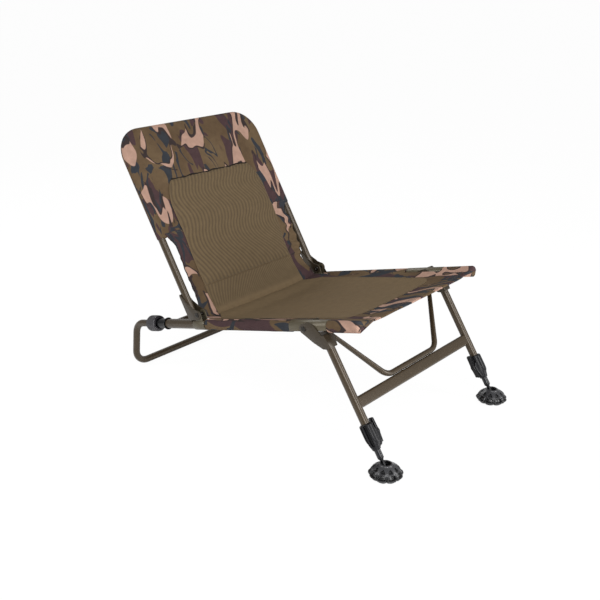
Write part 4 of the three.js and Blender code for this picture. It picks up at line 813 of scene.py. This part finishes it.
def foot_radius(turn, r, z):
    petal = (((turn - FOOT_TURN) * PETALS / (2 * math.pi) + 0.5) % 1.0) * 2 - 1
    across = abs(petal)
    r -= 6.4 * (1 - math.sqrt(max(0.0, 1 - across ** 2.4))) * (1 - smooth(z, 11, 24))
    low_roof = 19.0 - 2 * across
    low = smooth(0.76 - across, 0.0, 0.13) * smooth(z, 9.2, 10.6) * (1 - smooth(z, low_roof, 20.2 - 2 * across))
    arch = 26.4 - 4.0 * (across / 0.6) ** 2
    high = smooth(0.62 - across, 0.0, 0.14) * smooth(z, 20.9, 21.9) * (1 - smooth(z, arch, arch + 1.2))
    foot = smooth(0.60 - across, 0.0, 0.2) * smooth(z, 1.5, 2.6) * (1 - smooth(z, 7.0, 8.2))
    return r - 6.5 * low - 5.0 * high - 2.0 * foot


heights = sorted({*np.linspace(0, 1.4, 4), *np.linspace(1.4, 31.4, 64), 32.0, 32.6, 33.2})
foot_profile = [(between(z, *((b, a) for a, b in FOOT_LINE)), float(z)) for z in heights]
foot_profile += [(10.2, 32.9), (9.8, 31.8), (9.6, 28.0)]
neck = math.radians(33.2)
slot_outline = [(-5.2, 18), (0, 14), (72 * math.sin(neck + 0.59), 14 + 72 * math.cos(neck + 0.59)),
                (72 * math.sin(neck - 0.59), 90),
                (-5.2, 90)]
socket_ball = [(8.6 * math.sin(math.pi * i / 16) + 0.001, 18 - 8.6 * math.cos(math.pi * i / 16)) for i in range(17)]
dome = in_place(turned(foot_profile, steps=PETALS * 28, radius=foot_radius), Matrix.Identity(4), outward=True)
dome = cut_by(dome, side_cutter(slot_outline, 0, 5.2, Matrix.Identity(4)))
dome = mark_pocket_shade(cut_by(dome, in_place(turned(socket_ball, steps=40), Matrix.Identity(4), outward=True)), FOOT_LINE)
for label, side in SIDES:
    copy = dome.copy()
    copy.transform(Matrix.Translation((side * HALF, -416.55, 0)))
    shown(f"mud_foot_dome_{label}", in_place(copy, GROUND), foot_plastic, f"foot_{label}", [f"mud_foot_{label}"],
          smooth_deg=40)

# %% [markdown]
# The sling is one long piece of cloth. On the seat it runs over each rail, round it and back to
# the underside, where it is sewn down, which makes the sleeves. It sags between the rails, rises
# to the fold and runs on up the back to the pocket. The grid below follows the cloth itself:
# its columns are distances across the cloth, and a function says where each one lies. Columns
# are left out where the cloth is cut away, at the saddles and between the hinges.

# %% Where the cloth lies
SLEEVE = RAIL_RADIUS + 1.5
HEM_FRONT, SLEEVE_REAR, FREE_EDGE, FOLD_Y = -508.0, -23.0, 206.0, 9.5
SEAM_X = 183.0  # where the sleeve is sewn to the underside
NOTCH = (-424.6, -312.4)  # room for the front saddle
NOTCH_X, ROUND = 214.0, math.pi * (RAIL_RADIUS + 1.5)
LOOP_END = HALF + ROUND + (HALF - SEAM_X)


def wrinkle(x, y, size, height, seed=0.0):
    return height * noise.noise(Vector((x / size + seed, y / size, seed)))


def seat_level(x, y):
    """Height of the cloth above the rail axis, between the rails."""
    taut = 1 - smooth(y, -500, -425)
    middle = -7.5 + 7.0 * taut
    fall = min(1.0, abs(x) / HALF) ** (3.4 + 4.6 * taut)
    rise = smooth(y, FOLD_Y - 62, FOLD_Y)
    return middle + (SLEEVE - middle) * fall + 12.0 * rise * (1 - fall) + wrinkle(x, y, 70, 1.1 * (1 - fall))


def seat_point(s, y):
    """The point at distance s across the cloth and y along the rails."""
    side, reach = math.copysign(1, s), abs(s)
    if reach <= HALF:
        wide = 15 * smooth(y, SLEEVE_REAR - 30, SLEEVE_REAR)
        out = reach + wide * ((reach / FREE_EDGE) ** 5 if reach < FREE_EDGE else (HALF - reach) / (HALF - FREE_EDGE))
        return side * out, seat_level(side * out, y)
    loose = 0.7 * noise.noise(Vector((y / 34, reach / 16, side * 3)))
    if reach <= HALF + ROUND:
        turn, r = (reach - HALF) / SLEEVE, SLEEVE + max(0.0, loose) * min(1.0, (reach - HALF) / 8)
        return side * (HALF + r * math.sin(turn)), r * math.cos(turn)
    t = (reach - HALF - ROUND) / (HALF - SEAM_X)
    return side * (HALF - t * (HALF - SEAM_X)), -SLEEVE * (1 - t) + (seat_level(SEAM_X, y) - 2.4) * t


def back_level(x, z):
    """How far behind the pivot the front of the cloth lies, up the back."""
    set_back = between(z, (-12, 14.3), (5, 18), (40, 23), (110, 23.5), (150, 19.5), (185, 15.4), (206, 13.4),
                       (226, 13.0))
    strip = smooth(abs(x), 168, 200) * smooth(z, 20, 70) * (1 - smooth(z, 165, 205))
    crease = math.sin(z / 4.3 + x * 0.04 + 2.6 * noise.noise(Vector((x / 30, z / 30, 0))))
    return set_back + strip * (3.0 if x > 0 else 1.1) * crease + wrinkle(x, z, 60, 0.8)


def back_half(z, side):
    """Half width of the cloth up the back. It hangs slack towards the hoop on the sitter's left."""
    slack = 18 * smooth(z, 44, 88) * (1 - smooth(z, 164, 196)) if side > 0 else 0
    return FREE_EDGE + slack + between(z, (-12, 15), (8, 14), (32, 4), (52, 0), (174, 0), (186, 2), (198, 8),
                                       (208, 16), (223, 22))


print("cloth across a rail:", round(2 * LOOP_END), "mm")


# %% Cloth helpers
def set_uv(mesh, marks):
    """Writes the cloth's own coordinates, in metres, as its UV map."""
    layer = mesh.uv_layers.new(name="cloth")
    for loop in mesh.loops:
        layer.data[loop.index].uv = marks[loop.vertex_index]


def thicken(mesh, thickness):
    """Gives a cloth its thickness below the surface."""
    holder = bpy.data.objects.new("cloth", mesh)
    bpy.context.scene.collection.objects.link(holder)
    wall = holder.modifiers.new("Thickness", "SOLIDIFY")
    wall.thickness, wall.offset = thickness, -1.0
    made = evaluated(holder)
    bpy.data.objects.remove(holder)
    return made


def without_loose(mesh):
    """Removes the points that no face uses."""
    work = bmesh.new()
    work.from_mesh(mesh)
    bmesh.ops.delete(work, geom=[v for v in work.verts if not v.link_faces], context="VERTS")
    work.to_mesh(mesh)
    work.free()
    return mesh


# %% Sling
columns = sorted({round(s, 3) for half in (
    np.linspace(0, SEAM_X, 38), np.linspace(SEAM_X, FREE_EDGE, 7), np.linspace(FREE_EDGE, NOTCH_X, 4),
    np.linspace(NOTCH_X, HALF, 8),
    np.linspace(HALF, HALF + ROUND, 19), np.linspace(HALF + ROUND, LOOP_END, 8)) for s in (*half, *(-half))})
seat_ys = sorted({round(y, 3) for y in (*np.linspace(HEM_FRONT, NOTCH[0], 20), *np.linspace(NOTCH[0], NOTCH[1], 20),
                                        *np.linspace(NOTCH[1], SLEEVE_REAR, 52),
                                        *np.linspace(SLEEVE_REAR, FOLD_Y, 10))})
back_zs = [*np.linspace(-9, 20, 10), *np.linspace(24, 223, 68)]
hem_roll = [(19.0, -4.6), (9.0, -4.8), (0.5, -4.7), (-1.7, -3.9), (-2.8, -2.6), (-2.4, -1.1), (-1.2, -0.2)]


def sling_rows():
    """Rows from the hem to the pocket: a kind, the place along the cloth, and a point for each column."""
    rows = [("hem", HEM_FRONT - dy,
             [(SEAT @ Vector((s, HEM_FRONT + dy, seat_point(s, HEM_FRONT)[1] + dz))) for s in columns])
            for dy, dz in hem_roll]
    for y in seat_ys:
        rows.append(("seat", y, [SEAT @ Vector((seat_point(s, y)[0], y, seat_point(s, y)[1])) for s in columns]))
    for z in back_zs:
        across = [s * back_half(z, s) / FREE_EDGE for s in columns]
        rows.append(("back", FOLD_Y + 12 + z, [BACK @ Vector((x, back_level(x, z), z)) for x in across]))
    return rows


def kept(kind, place, s):
    """Whether the cloth is there, for the face that starts at this row and column."""
    reach = abs(s)
    if kind == "hem":
        return reach < SEAM_X
    if kind == "back" or place >= SLEEVE_REAR:
        return reach < FREE_EDGE
    return reach < NOTCH_X or not NOTCH[0] <= place < NOTCH[1]


rows, faces = sling_rows(), []
for j in range(len(rows) - 1):
    kind, place, _ = rows[j]
    for i in range(len(columns) - 1):
        if kept(kind, place, (columns[i] + columns[i + 1]) / 2):
            a = j * len(columns) + i
            faces.append((a, a + 1, a + 1 + len(columns), a + len(columns)))
points = [p for _, _, row in rows for p in row]
marks = [(s * MM, place * MM) for _, place, _ in rows for s in columns]
front = len(hem_roll) * len(columns)
for side in (-1, 1):
    outline = [front + i for i, s in enumerate(columns) if side * s >= SEAM_X - 0.01]
    before = outline
    for shrink, ahead in ((0.94, 2.4), (0.74, 4.2), (0.42, 5.4), (0.12, 5.8)):
        now = list(range(len(points), len(points) + len(outline)))
        for index in outline:
            flat = SEAT.inverted() @ points[index]
            points.append(SEAT
                          @ Vector((side * 229 + (flat.x - side * 229) * shrink,
                                    HEM_FRONT - ahead + 0.35 * max(0.0, -flat.z),
                                         flat.z * shrink)))
            marks.append((marks[index][0], HEM_FRONT * MM - 0.014 * (1 - shrink)))
        faces += [(before[i], now[i], now[(i + 1) % len(now)], before[(i + 1) % len(now)]) for i in range(len(now))]
        before = now
    faces.append(tuple(before[::-1]))
sheet = polygons(points, faces)
set_uv(sheet, marks)
sling = shown("sling", thicken(without_loose(sheet), 0.0011), camo_cloth, None, ["seat_cover", "lower_back_panel"],
              smooth_deg=50)
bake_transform(sling)

# %% [markdown]
# The olive mesh is one panel from the front of the seat, over the fold, to the top of the back.
# Its ribs wander from side to side up the back and fan out below the cross seam. Each point
# keeps a number that says how many ribs lie to its left. The material and the relief both read
# that number, so the drawn ribs and the raised ribs are the same ribs.

# %% Where the ribs run
RIB_PITCH = 11.6
SEAM_Z, MESH_TOP, MESH_FRONT = 63.0, 355.0, -424.0


def rib_number(x, z):
    """How many ribs lie left of a point of the back."""
    if z >= SEAM_Z:
        wave = between(z, (64, 47), (84, 42), (100, 33), (113, 25), (126, 14), (142, 0), (157, -10), (168, -14),
                       (178, -15), (190, -12.5),
                       (201, -8), (215, 3), (227, 9), (240, 12.5), (250, 12), (262, 7), (273, 0), (286, -7.5),
                       (297, -10.5), (306, -10),
                       (318, -4), (333, 8), (345, 14), (356, 18))
        return (x - wave * (1.0 + x / 420)) / RIB_PITCH
    d = z - 60.0
    return (x - 1.07 * d) / (1 + 0.0058 * d) / RIB_PITCH


def mesh_half(y):
    """Half the width of the mesh along the seat."""
    half = between(y, (MESH_FRONT, 172), (-242, 190), (-80, 200), (-36, 201), (-16, 184), (0, 170), (20, 168))
    corner = max(0.0, 26 - (y - MESH_FRONT))
    return half - 26 + math.sqrt(max(0.0, 26 ** 2 - corner ** 2))


# %% Seat and lumbar mesh
points, marks, ribs, numbers, n = [], [], [], [], 153
ACROSS = np.linspace(-1, 1, n)
mesh_ys = [*(MESH_FRONT + 26 * (1 - np.cos(np.linspace(0, math.pi / 2, 9)))), *np.linspace(-392, -30, 60),
           *np.linspace(-26, FOLD_Y, 12)]
mesh_zs = [*np.linspace(-9, 12, 8), *np.linspace(14, SEAM_Z + 4, 24)]
for y in mesh_ys:
    for u in ACROSS:
        x = u * mesh_half(y)
        points.append(SEAT @ Vector((x, y, seat_level(x, y) + 1.1)))
        marks.append((x * MM, y * MM))
        ribs.append(0.0)
        numbers.append(rib_number(x, -9))
for z in mesh_zs:
    for u in ACROSS:
        x = u * 168.5
        wave = 0.5 + 0.5 * math.cos(2 * math.pi * rib_number(x, z))
        ribbed = smooth(z, -6, 10)
        points.append(BACK @ Vector((x, back_level(x, z) - 1.1 - 0.5 * wave * ribbed, z)))
        marks.append((x * MM, (FOLD_Y + 12 + z) * MM))
        ribs.append(ribbed)
        numbers.append(rib_number(x, z))
count = len(mesh_ys) + len(mesh_zs)
overlay = polygons(points,
                   [(j * n + i, j * n + i + 1, (j + 1) * n + i + 1, (j + 1) * n + i) for j in range(count - 1)
                    for i in range(n - 1)])
set_uv(overlay, marks)


def keep_numbers(mesh, ribs, numbers):
    mesh.attributes.new("ribbed", "FLOAT", "POINT").data.foreach_set("value", ribs)
    mesh.attributes.new("rib_number", "FLOAT", "POINT").data.foreach_set("value", numbers)


keep_numbers(overlay, ribs, numbers)
seat_mesh = shown("seat_mesh", thicken(overlay, 0.0009), mesh_cloth, None, (), smooth_deg=50)
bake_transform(seat_mesh)

# %% [markdown]
# Padding is made by simulation, as a maker would stuff it. A thin closed shape is sewn down where
# points are pinned, air pressure swells the rest, and the swelling is capped. The seams stay
# where they were sewn and the cloth puckers beside them.


# %% Cloth simulation
def puffed(mesh, pinned, pressure, cap, frames=16):
    """Swells a closed mesh by air pressure, with some of its points held and the rest capped."""
    scene = bpy.context.scene
    holder = bpy.data.objects.new("padding", mesh)
    scene.collection.objects.link(holder)
    holder.vertex_groups.new(name="sewn").add([int(i) for i in pinned], 1.0, "REPLACE")
    cloth = holder.modifiers.new("Cloth", "CLOTH")
    cloth.settings.quality = 5
    cloth.settings.use_pressure = True
    cloth.settings.uniform_pressure_force = pressure
    cloth.settings.vertex_group_mass = "sewn"
    cloth.settings.effector_weights.gravity = 0
    cloth.settings.bending_stiffness = 1.5
    cloth.collision_settings.use_collision = False
    cloth.point_cache.frame_start, cloth.point_cache.frame_end = 1, frames
    for moment in range(1, frames + 1):
        scene.frame_set(moment)
    swollen = holder.evaluated_get(bpy.context.evaluated_depsgraph_get()).data
    before, after = np.empty(len(mesh.vertices) * 3), np.empty(len(mesh.vertices) * 3)
    mesh.vertices.foreach_get("co", before)
    swollen.vertices.foreach_get("co", after)
    move = (after - before).reshape(-1, 3)
    reach = np.linalg.norm(move, axis=1, keepdims=True)
    most = cap * MM
    move *= np.where(reach > 1e-9, most * np.tanh(reach / most) / np.maximum(reach, 1e-9), 0)
    mesh.vertices.foreach_set("co", before + move.ravel())
    holder.modifiers.clear()
    bpy.data.objects.remove(holder)
    scene.frame_set(1)
    print("padding moved at most", round(float(np.linalg.norm(move, axis=1).max()) * 1000, 1), "mm")
    return mesh


def subdivided(mesh, levels=1):
    holder = bpy.data.objects.new("smooth", mesh)
    bpy.context.scene.collection.objects.link(holder)
    even = holder.modifiers.new("Even", "SUBSURF")
    even.levels = even.render_levels = levels
    made = evaluated(holder)
    bpy.data.objects.remove(holder)
    return made


# %% Back panel
def panel_half(z):
    return between(z, (SEAM_Z, 167), (110, 168), (181, 171), (290, 171), (315, 165.5), (335, 157), (348, 149),
                   (MESH_TOP, 141))


def panel_rear(x, z):
    return min(back_level(x, z),
               between(z, (SEAM_Z, 40), (216, 40), (217, 14.4), (400, 14.4))) - 1.3 if z < 226 else 13.0


PANEL_N, PANEL_M = 87, 75
flat_points = []
for layer_y in (0, 1):
    for z in np.linspace(SEAM_Z + 0.8, MESH_TOP, PANEL_M):
        for u in np.linspace(-1, 1, PANEL_N):
            x = u * panel_half(z)
            edge = min(1.0, (1 - abs(u)) * 11, (z - SEAM_Z) / 16, (MESH_TOP - z) / 9 + 0.25)
            crown = 2.6 * (1 - u * u) * smooth(z, 60, 120) * (1 - smooth(z, 300, 356))
            body = 0.9 + 4.0 * math.sqrt(max(0.0, edge)) + crown
            flat_points.append((x, panel_rear(x, z) - (body if layer_y else 0), z))
size = PANEL_N * PANEL_M
faces = []
for j in range(PANEL_M - 1):
    for i in range(PANEL_N - 1):
        a = j * PANEL_N + i
        faces.append((a, a + PANEL_N, a + PANEL_N + 1, a + 1))
        faces.append(tuple(size + v for v in (a, a + 1, a + PANEL_N + 1, a + PANEL_N)))
border = ([j for j in range(PANEL_N)] + [j * PANEL_N + PANEL_N - 1 for j in range(1, PANEL_M)]
          + [(PANEL_M - 1) * PANEL_N + i for i in range(PANEL_N - 2, -1, -1)]
          + [j * PANEL_N for j in range(PANEL_M - 2, 0, -1)])
for a, b in zip(border, border[1:] + border[:1]):
    faces.append((a, b, size + b, size + a))
panel = polygons(flat_points, faces)
in_place(panel, BACK)
panel = puffed(panel, [*range(size), *(size + i for i in border)], 4.0, 5.0)
panel = subdivided(panel)
inverse, marks, ribs, numbers = BACK.inverted(), [], [], []
for v in panel.vertices:
    p = inverse @ v.co
    front_face = smooth(panel_rear(p.x, p.z) - p.y, 1.0, 3.0)
    number = rib_number(p.x, max(p.z, SEAM_Z))
    wave = 0.5 + 0.5 * math.cos(2 * math.pi * number)
    p.y -= 0.55 * wave * front_face
    v.co = BACK @ p
    marks.append((p.x * MM, p.z * MM + 0.0215))
    ribs.append(front_face)
    numbers.append(number)
set_uv(panel, marks)
keep_numbers(panel, ribs, numbers)
in_place(panel, Matrix.Identity(4), outward=True)
back_panel = shown("back_panel", panel, mesh_cloth, "back", ["back_pad"], smooth_deg=60)
print("back panel:", len(panel.vertices), "points")

# %% [markdown]
# The pocket is pulled over the hoop like a pillow case. A tube that follows the hoop and a padded
# panel are joined by a voxel remesh, which also rounds every edge as cloth does. The print then
# has to run round the tube without stretching, so the UV map measures the way round it.

# %% Pocket over the hoop
POCKET_BOTTOM, HOOP_TOP, POCKET_RADIUS, CORNER = 212.0, 500.0, 11.5, 64.0


def pocket_front(x, z):
    """The front of the pocket's panel: flat beside the mesh, a soft pillow above it."""
    pillow = (1 - smooth(abs(x), 128, 215)) * smooth(z, MESH_TOP - 1.5, MESH_TOP + 1.5) * (1 - smooth(z, 400, 497))
    crown = 3.5 * max(0.0, 1 - ((z - 430) / 70) ** 2) * (1 - smooth(abs(x), 120, 225))
    behind_mesh = (1 - smooth(abs(x), panel_half(z) - 6, panel_half(z) - 1)) if z < MESH_TOP else 0.0
    behind = 2.2 * behind_mesh * (1 - smooth(z, MESH_TOP - 2, MESH_TOP + 1))
    return 14.1 - 5.2 * pillow - crown + behind + wrinkle(x, z, 46, 0.9, 4.0)


def pocket_shape():
    shell, faces, width = [], [], 131
    xs = np.linspace(-HALF, HALF, width)
    zs = [*np.linspace(POCKET_BOTTOM, 352, 40), *np.linspace(353.5, 358, 4), *np.linspace(361, HOOP_TOP, 40)]
    for layer_y in (0, 1):
        for z in zs:
            for x in xs:
                over = max(0.0, abs(x) - (HALF - CORNER))
                lift = max(0.0, z - (HOOP_TOP - CORNER))
                squeeze = 1.0
                reach = math.hypot(over, lift)
                if over > 0 and lift > 0 and reach > CORNER:
                    squeeze = CORNER / reach
                px = math.copysign(HALF - CORNER + over * squeeze, x) if over > 0 else x
                pz = HOOP_TOP - CORNER + lift * squeeze if lift > 0 else z
                shell.append((px, 21.4 if layer_y == 0 else pocket_front(px, pz), pz))
    block = width * len(zs)
    for j in range(len(zs) - 1):
        for i in range(width - 1):
            a = j * width + i
            faces.append((a, a + width, a + width + 1, a + 1))
            faces.append(tuple(block + v for v in (a, a + 1, a + width + 1, a + width)))
    rim = ([i for i in range(width)] + [j * width + width - 1 for j in range(1, len(zs))]
           + [(len(zs) - 1) * width + i for i in range(width - 2, -1, -1)]
           + [j * width for j in range(len(zs) - 2, 0, -1)])
    faces += [(a, b, block + b, block + a) for a, b in zip(rim, rim[1:] + rim[:1])]
    return in_place(polygons(shell, faces), Matrix.Identity(4), outward=True)


casing = tube([(-HALF, 25, POCKET_BOTTOM), (-HALF, 25, HOOP_TOP), (HALF, 25, HOOP_TOP), (HALF, 25, POCKET_BOTTOM)],
              POCKET_RADIUS, bend=CORNER,
              sides=36)
work = bmesh.new()
work.from_mesh(pocket_shape())
work.from_mesh(casing)
whole = bpy.data.meshes.new("pocket")
work.to_mesh(whole)
work.free()
holder = bpy.data.objects.new("holder", whole)
bpy.context.scene.collection.objects.link(holder)
even = holder.modifiers.new("Even", "REMESH")
even.mode, even.voxel_size = "VOXEL", 3.3
soften = holder.modifiers.new("Soften", "SMOOTH")
soften.factor, soften.iterations = 0.5, 5
whole = in_place(evaluated(holder), BACK)
bpy.data.objects.remove(holder)
print("pocket after the remesh:", len(whole.vertices), "points")

# %% Padding and print of the pocket
inverse, held = BACK.inverted(), []
for v in whole.vertices:
    p = inverse @ v.co
    inside_x = HALF - 16 - abs(p.x)
    under_mesh = p.z < MESH_TOP + 4 and abs(p.x) < panel_half(p.z) + 5
    if p.y > 19 or inside_x < 0 or p.z < POCKET_BOTTOM + 8 or p.z > HOOP_TOP - 14 or under_mesh:
        held.append(v.index)
whole = puffed(whole, held, 4.0, 3.0, frames=12)
whole = subdivided(whole)


def pocket_mark(p, front_side):
    """Where a point of the pocket lies on the flat cloth: the way round the tube is measured as it is sewn."""
    over, lift = abs(p.x) - (HALF - CORNER), p.z - (HOOP_TOP - CORNER)
    if over > 0 and lift > 0:
        out = Vector((math.copysign(over, p.x), lift)).normalized()
        spine = Vector((math.copysign(HALF - CORNER, p.x), HOOP_TOP - CORNER)) + out * CORNER
        past = math.hypot(over, lift) - CORNER
    elif over > lift:
        out, spine = Vector((math.copysign(1, p.x), 0)), Vector((math.copysign(HALF, p.x), p.z))
        past = abs(p.x) - HALF
    else:
        out, spine, past = Vector((0, 1)), Vector((p.x, HOOP_TOP)), p.z - HOOP_TOP
    if past > 0:
        turn = math.atan2(past, abs(25 - p.y)) * POCKET_RADIUS
        flat = spine + out * turn
    else:
        flat = Vector((p.x, p.z))
    return (flat.x * MM, flat.y * MM + 0.0215) if front_side else (flat.x * MM + 1.3, flat.y * MM + 0.6)


layer = whole.uv_layers.new(name="cloth")
for face in whole.polygons:
    front_side = (inverse @ face.center).y < 25
    for loop in face.loop_indices:
        layer.data[loop].uv = pocket_mark(inverse @ whole.vertices[whole.loops[loop].vertex_index].co, front_side)
pocket = shown("pocket", whole, camo_cloth, "back", ["back_pocket"], smooth_deg=70)
print("pocket:", len(whole.vertices), "points")

# %% [markdown]
# Seams, hems and bindings. A ray finds the cloth under each point of a seam line, so the thread
# lies on the surface. One Geometry Nodes tree then sets stitches at an even pitch along any line.

# %% Geometry Nodes: stitches
stitching, given, out = geometry_tree("stitching",
                                      [("Pitch", "Float", 0.0034), ("Thread", "Float", 0.00042),
                                       ("Finish", "Material", None)])
line = add(stitching, "GeometryNodeMeshToCurve")
spaced = add(stitching, "GeometryNodeCurveToPoints", mode="LENGTH")
stitch = add(stitching, "GeometryNodeMeshIcoSphere", Radius=1.0, Subdivisions=1)
long_form = add(stitching, "ShaderNodeCombineXYZ")
copies = add(stitching, "GeometryNodeInstanceOnPoints")
real = add(stitching, "GeometryNodeRealizeInstances")
finish = add(stitching, "GeometryNodeSetMaterial")
join(stitching, given.outputs["Geometry"], line.inputs["Mesh"])
join(stitching, line.outputs[0], spaced.inputs["Curve"])
join(stitching, given.outputs["Pitch"], spaced.inputs["Length"])
join(stitching, given.outputs["Thread"], long_form.inputs["X"])
join(stitching, given.outputs["Thread"], long_form.inputs["Y"])
join(stitching, math_node(stitching, "MULTIPLY", given.outputs["Pitch"], 0.38), long_form.inputs["Z"])
join(stitching, spaced.outputs["Points"], copies.inputs["Points"])
join(stitching, spaced.outputs["Rotation"], copies.inputs["Rotation"])
join(stitching, stitch.outputs[0], copies.inputs["Instance"])
join(stitching, long_form.outputs[0], copies.inputs["Scale"])
join(stitching, copies.outputs[0], real.inputs[0])
join(stitching, real.outputs[0], finish.inputs["Geometry"])
join(stitching, given.outputs["Finish"], finish.inputs["Material"])
join(stitching, finish.outputs[0], out.inputs[0])


cloths = {piece: BVHTree.FromPolygons([v.co for v in piece.data.vertices], [p.vertices for p in piece.data.polygons])
          for piece in (seat_mesh, sling, back_panel, pocket)}


def laid(pieces, axes, points, start, raised=0.0001):
    """Where a line seen from start, in millimetres, meets the first of the pieces."""
    trees = [cloths[piece] for piece in pieces]
    found, toward = [], -Vector(start).normalized()
    for point in points:
        origin = axes @ (Vector(point) + Vector(start))
        direction = (axes.to_3x3() @ toward).normalized()
        hits = [tree.ray_cast(origin, direction, 0.2) for tree in trees]
        hits = sorted((distance, tuple(place)) for place, _, _, distance in hits if place is not None)
        if hits:
            found.append(tuple(Vector(hits[0][1]) - direction * raised))
    return found


def sewn(name, lines, body):
    """Several seam lines as one piece of thread."""
    points, edges = [], []
    for run in lines:
        edges += [(len(points) + i, len(points) + i + 1) for i in range(len(run) - 1)]
        points += run
    base = bpy.data.meshes.new("seam")
    base.from_pydata(points, edges, [])
    made = grown(base, stitching, Pitch=0.0034, Thread=0.00042, Finish=thread)
    shown(name, made, thread, body)
    return len(points)


# %% Seams on the seat and the back
def row(x_of, places, level=0.0):
    return [(x_of(t), t, level) for t in places]


seat_run, back_run = np.linspace(MESH_FRONT + 3, -34, 90), np.linspace(SEAM_Z + 8, MESH_TOP - 4, 70)
seat_lines = [row(lambda y, side=side: side * (mesh_half(y) - 3.5), seat_run) for side in (-1, 1)]
seat_lines += [[(x, MESH_FRONT + 3.5, 0) for x in np.linspace(-146, 146, 60)]]
seat_lines += [[(x, y, 0) for x in np.linspace(-214, 214, 90)] for y in (HEM_FRONT + 12, HEM_FRONT + 17)]
count = sewn("seat_seams", [laid([seat_mesh, sling], SEAT, run, (0, 0, 60)) for run in seat_lines], "seat_frame")
under = [[(side * (SEAM_X + 5), y, 0) for y in np.linspace(low, high, 80)] for side in (-1, 1)
         for low, high in ((HEM_FRONT + 24, NOTCH[0] - 4), (NOTCH[1] + 4, SLEEVE_REAR - 5))]
count += sewn("sleeve_seams", [laid([sling], SEAT, run, (0, 0, -60)) for run in under], "seat_frame")
back_lines = [[(side * (panel_half(z) - 4), 0, z) for z in back_run] for side in (-1, 1)]
back_lines += [[(x, 0, SEAM_Z + 5) for x in np.linspace(-160, 160, 80)],
               [(x, 0, MESH_TOP - 4) for x in np.linspace(-136, 136, 70)]]
back_lines += [[(x, 0, POCKET_BOTTOM + 7) for x in np.linspace(side * 176, side * 243, 24)] for side in (-1, 1)]
count += sewn("back_seams", [laid([back_panel, pocket, sling], BACK, run, (0, -80, 0)) for run in back_lines], "back")
rear_lines = [[(x, 0, POCKET_BOTTOM + 7) for x in np.linspace(-225, 225, 90)]]
count += sewn("pocket_rear_seam", [laid([pocket], BACK, run, (0, 80, 0)) for run in rear_lines], "back")
for label, side in SIDES:
    edge_line = []
    for z in np.linspace(46, 205, 60):
        half = back_half(z, side)
        edge_line.append(tuple(BACK @ Vector((side * (half - 0.4), back_level(side * half, z) + 0.5, z))))
    shown(f"strip_binding_{label}", tube(edge_line, 0.0013, 0.001, 8, binding), binding, "back")
# A dark cord along the top edge of the mesh, wavy and partly hidden, is painted shade: it stands for the dark gap
# under the pocket's edge.
gap_shade_line = [(x, 0, MESH_TOP + 0.4 + 1.6 * math.sin(x / 13 + 2 * noise.noise(Vector((x / 40, 0, 0)))))
       for x in np.linspace(-141, 141, 90)]
shown("headrest_lip", tube(laid([back_panel, pocket], BACK, gap_shade_line, (0, -80, 0)), 0.0019, 0.001, 8, binding), binding,
      "back")
print("seam points:", count)

# %% [markdown]
# A white floor and a white sky make the studio. Both are plain white to the camera. Soft boxes
# give the light and a faint shadow on the floor. Three tall ones are kept mostly for gloss,
# where they draw a long streak down each tube.

# %% Studio
REACH = 60.0
ground = polygons([(-REACH, -REACH, 0), (REACH, -REACH, 0), (REACH, REACH, 0), (-REACH, REACH, 0)], [(0, 1, 2, 3)])
floor = bpy.data.objects.new("floor", ground)
bpy.context.scene.collection.objects.link(floor)
floor.location.z = -0.0005
paper, tree, shader = material("paper", Base_Color=(0.9, 0.9, 0.9, 1), Roughness=0.9)
glow = add(tree, "ShaderNodeEmission", Color=(1, 1, 1, 1), Strength=1.0)
blend_in = add(tree, "ShaderNodeMixShader")
path = add(tree, "ShaderNodeLightPath")
join(tree, math_node(tree, "MULTIPLY", path.outputs["Is Camera Ray"], 0.96), blend_in.inputs[0])
join(tree, shader.outputs[0], blend_in.inputs[1])
join(tree, glow.outputs[0], blend_in.inputs[2])
join(tree, blend_in.outputs[0], tree.nodes["Material Output"].inputs["Surface"])
floor.data.materials.append(paper)

world = bpy.data.worlds.new("studio")
bpy.context.scene.world = world
world.use_nodes = True
tree = world.node_tree
sky = tree.nodes["Background"]
sky.inputs["Color"].default_value = (1, 1, 1, 1)
path = add(tree, "ShaderNodeLightPath")
seen = math_node(tree, "MAXIMUM", path.outputs["Is Camera Ray"], path.outputs["Is Transmission Ray"])
strength = add(tree, "ShaderNodeMapRange")
strength.inputs["To Min"].default_value = 0.55
strength.inputs["To Max"].default_value = 1.0
join(tree, seen, strength.inputs["Value"])
join(tree, strength.outputs["Result"], sky.inputs["Strength"])


def soft_box(name, at, size, power, target=(0, 0, 0.3), diffuse=1.0):
    light = bpy.data.lights.new(name, "AREA")
    light.diffuse_factor = diffuse
    light.shape, light.size, light.size_y, light.energy = "RECTANGLE", size[0], size[1], power
    lamp = bpy.data.objects.new(name, light)
    bpy.context.scene.collection.objects.link(lamp)
    lamp.location = at
    lamp.rotation_mode = "QUATERNION"
    lamp.rotation_quaternion = (Vector(target) - Vector(at)).to_track_quat("-Z", "Y")
    return lamp


soft_box("key", (-1.9, -1.2, 2.3), (1.2, 1.2), 26)
soft_box("near strip", (-1.05, -2.2, 1.3), (0.7, 2.2), 60, diffuse=0.09)
soft_box("strip", (0.95, -2.2, 1.1), (0.6, 2.4), 50, diffuse=0.22)
soft_box("rear strip", (-1.9, 1.3, 1.6), (0.6, 2.0), 36, diffuse=0.28)
soft_box("rim", (0.8, 2.2, 1.8), (1.4, 0.8), 16)
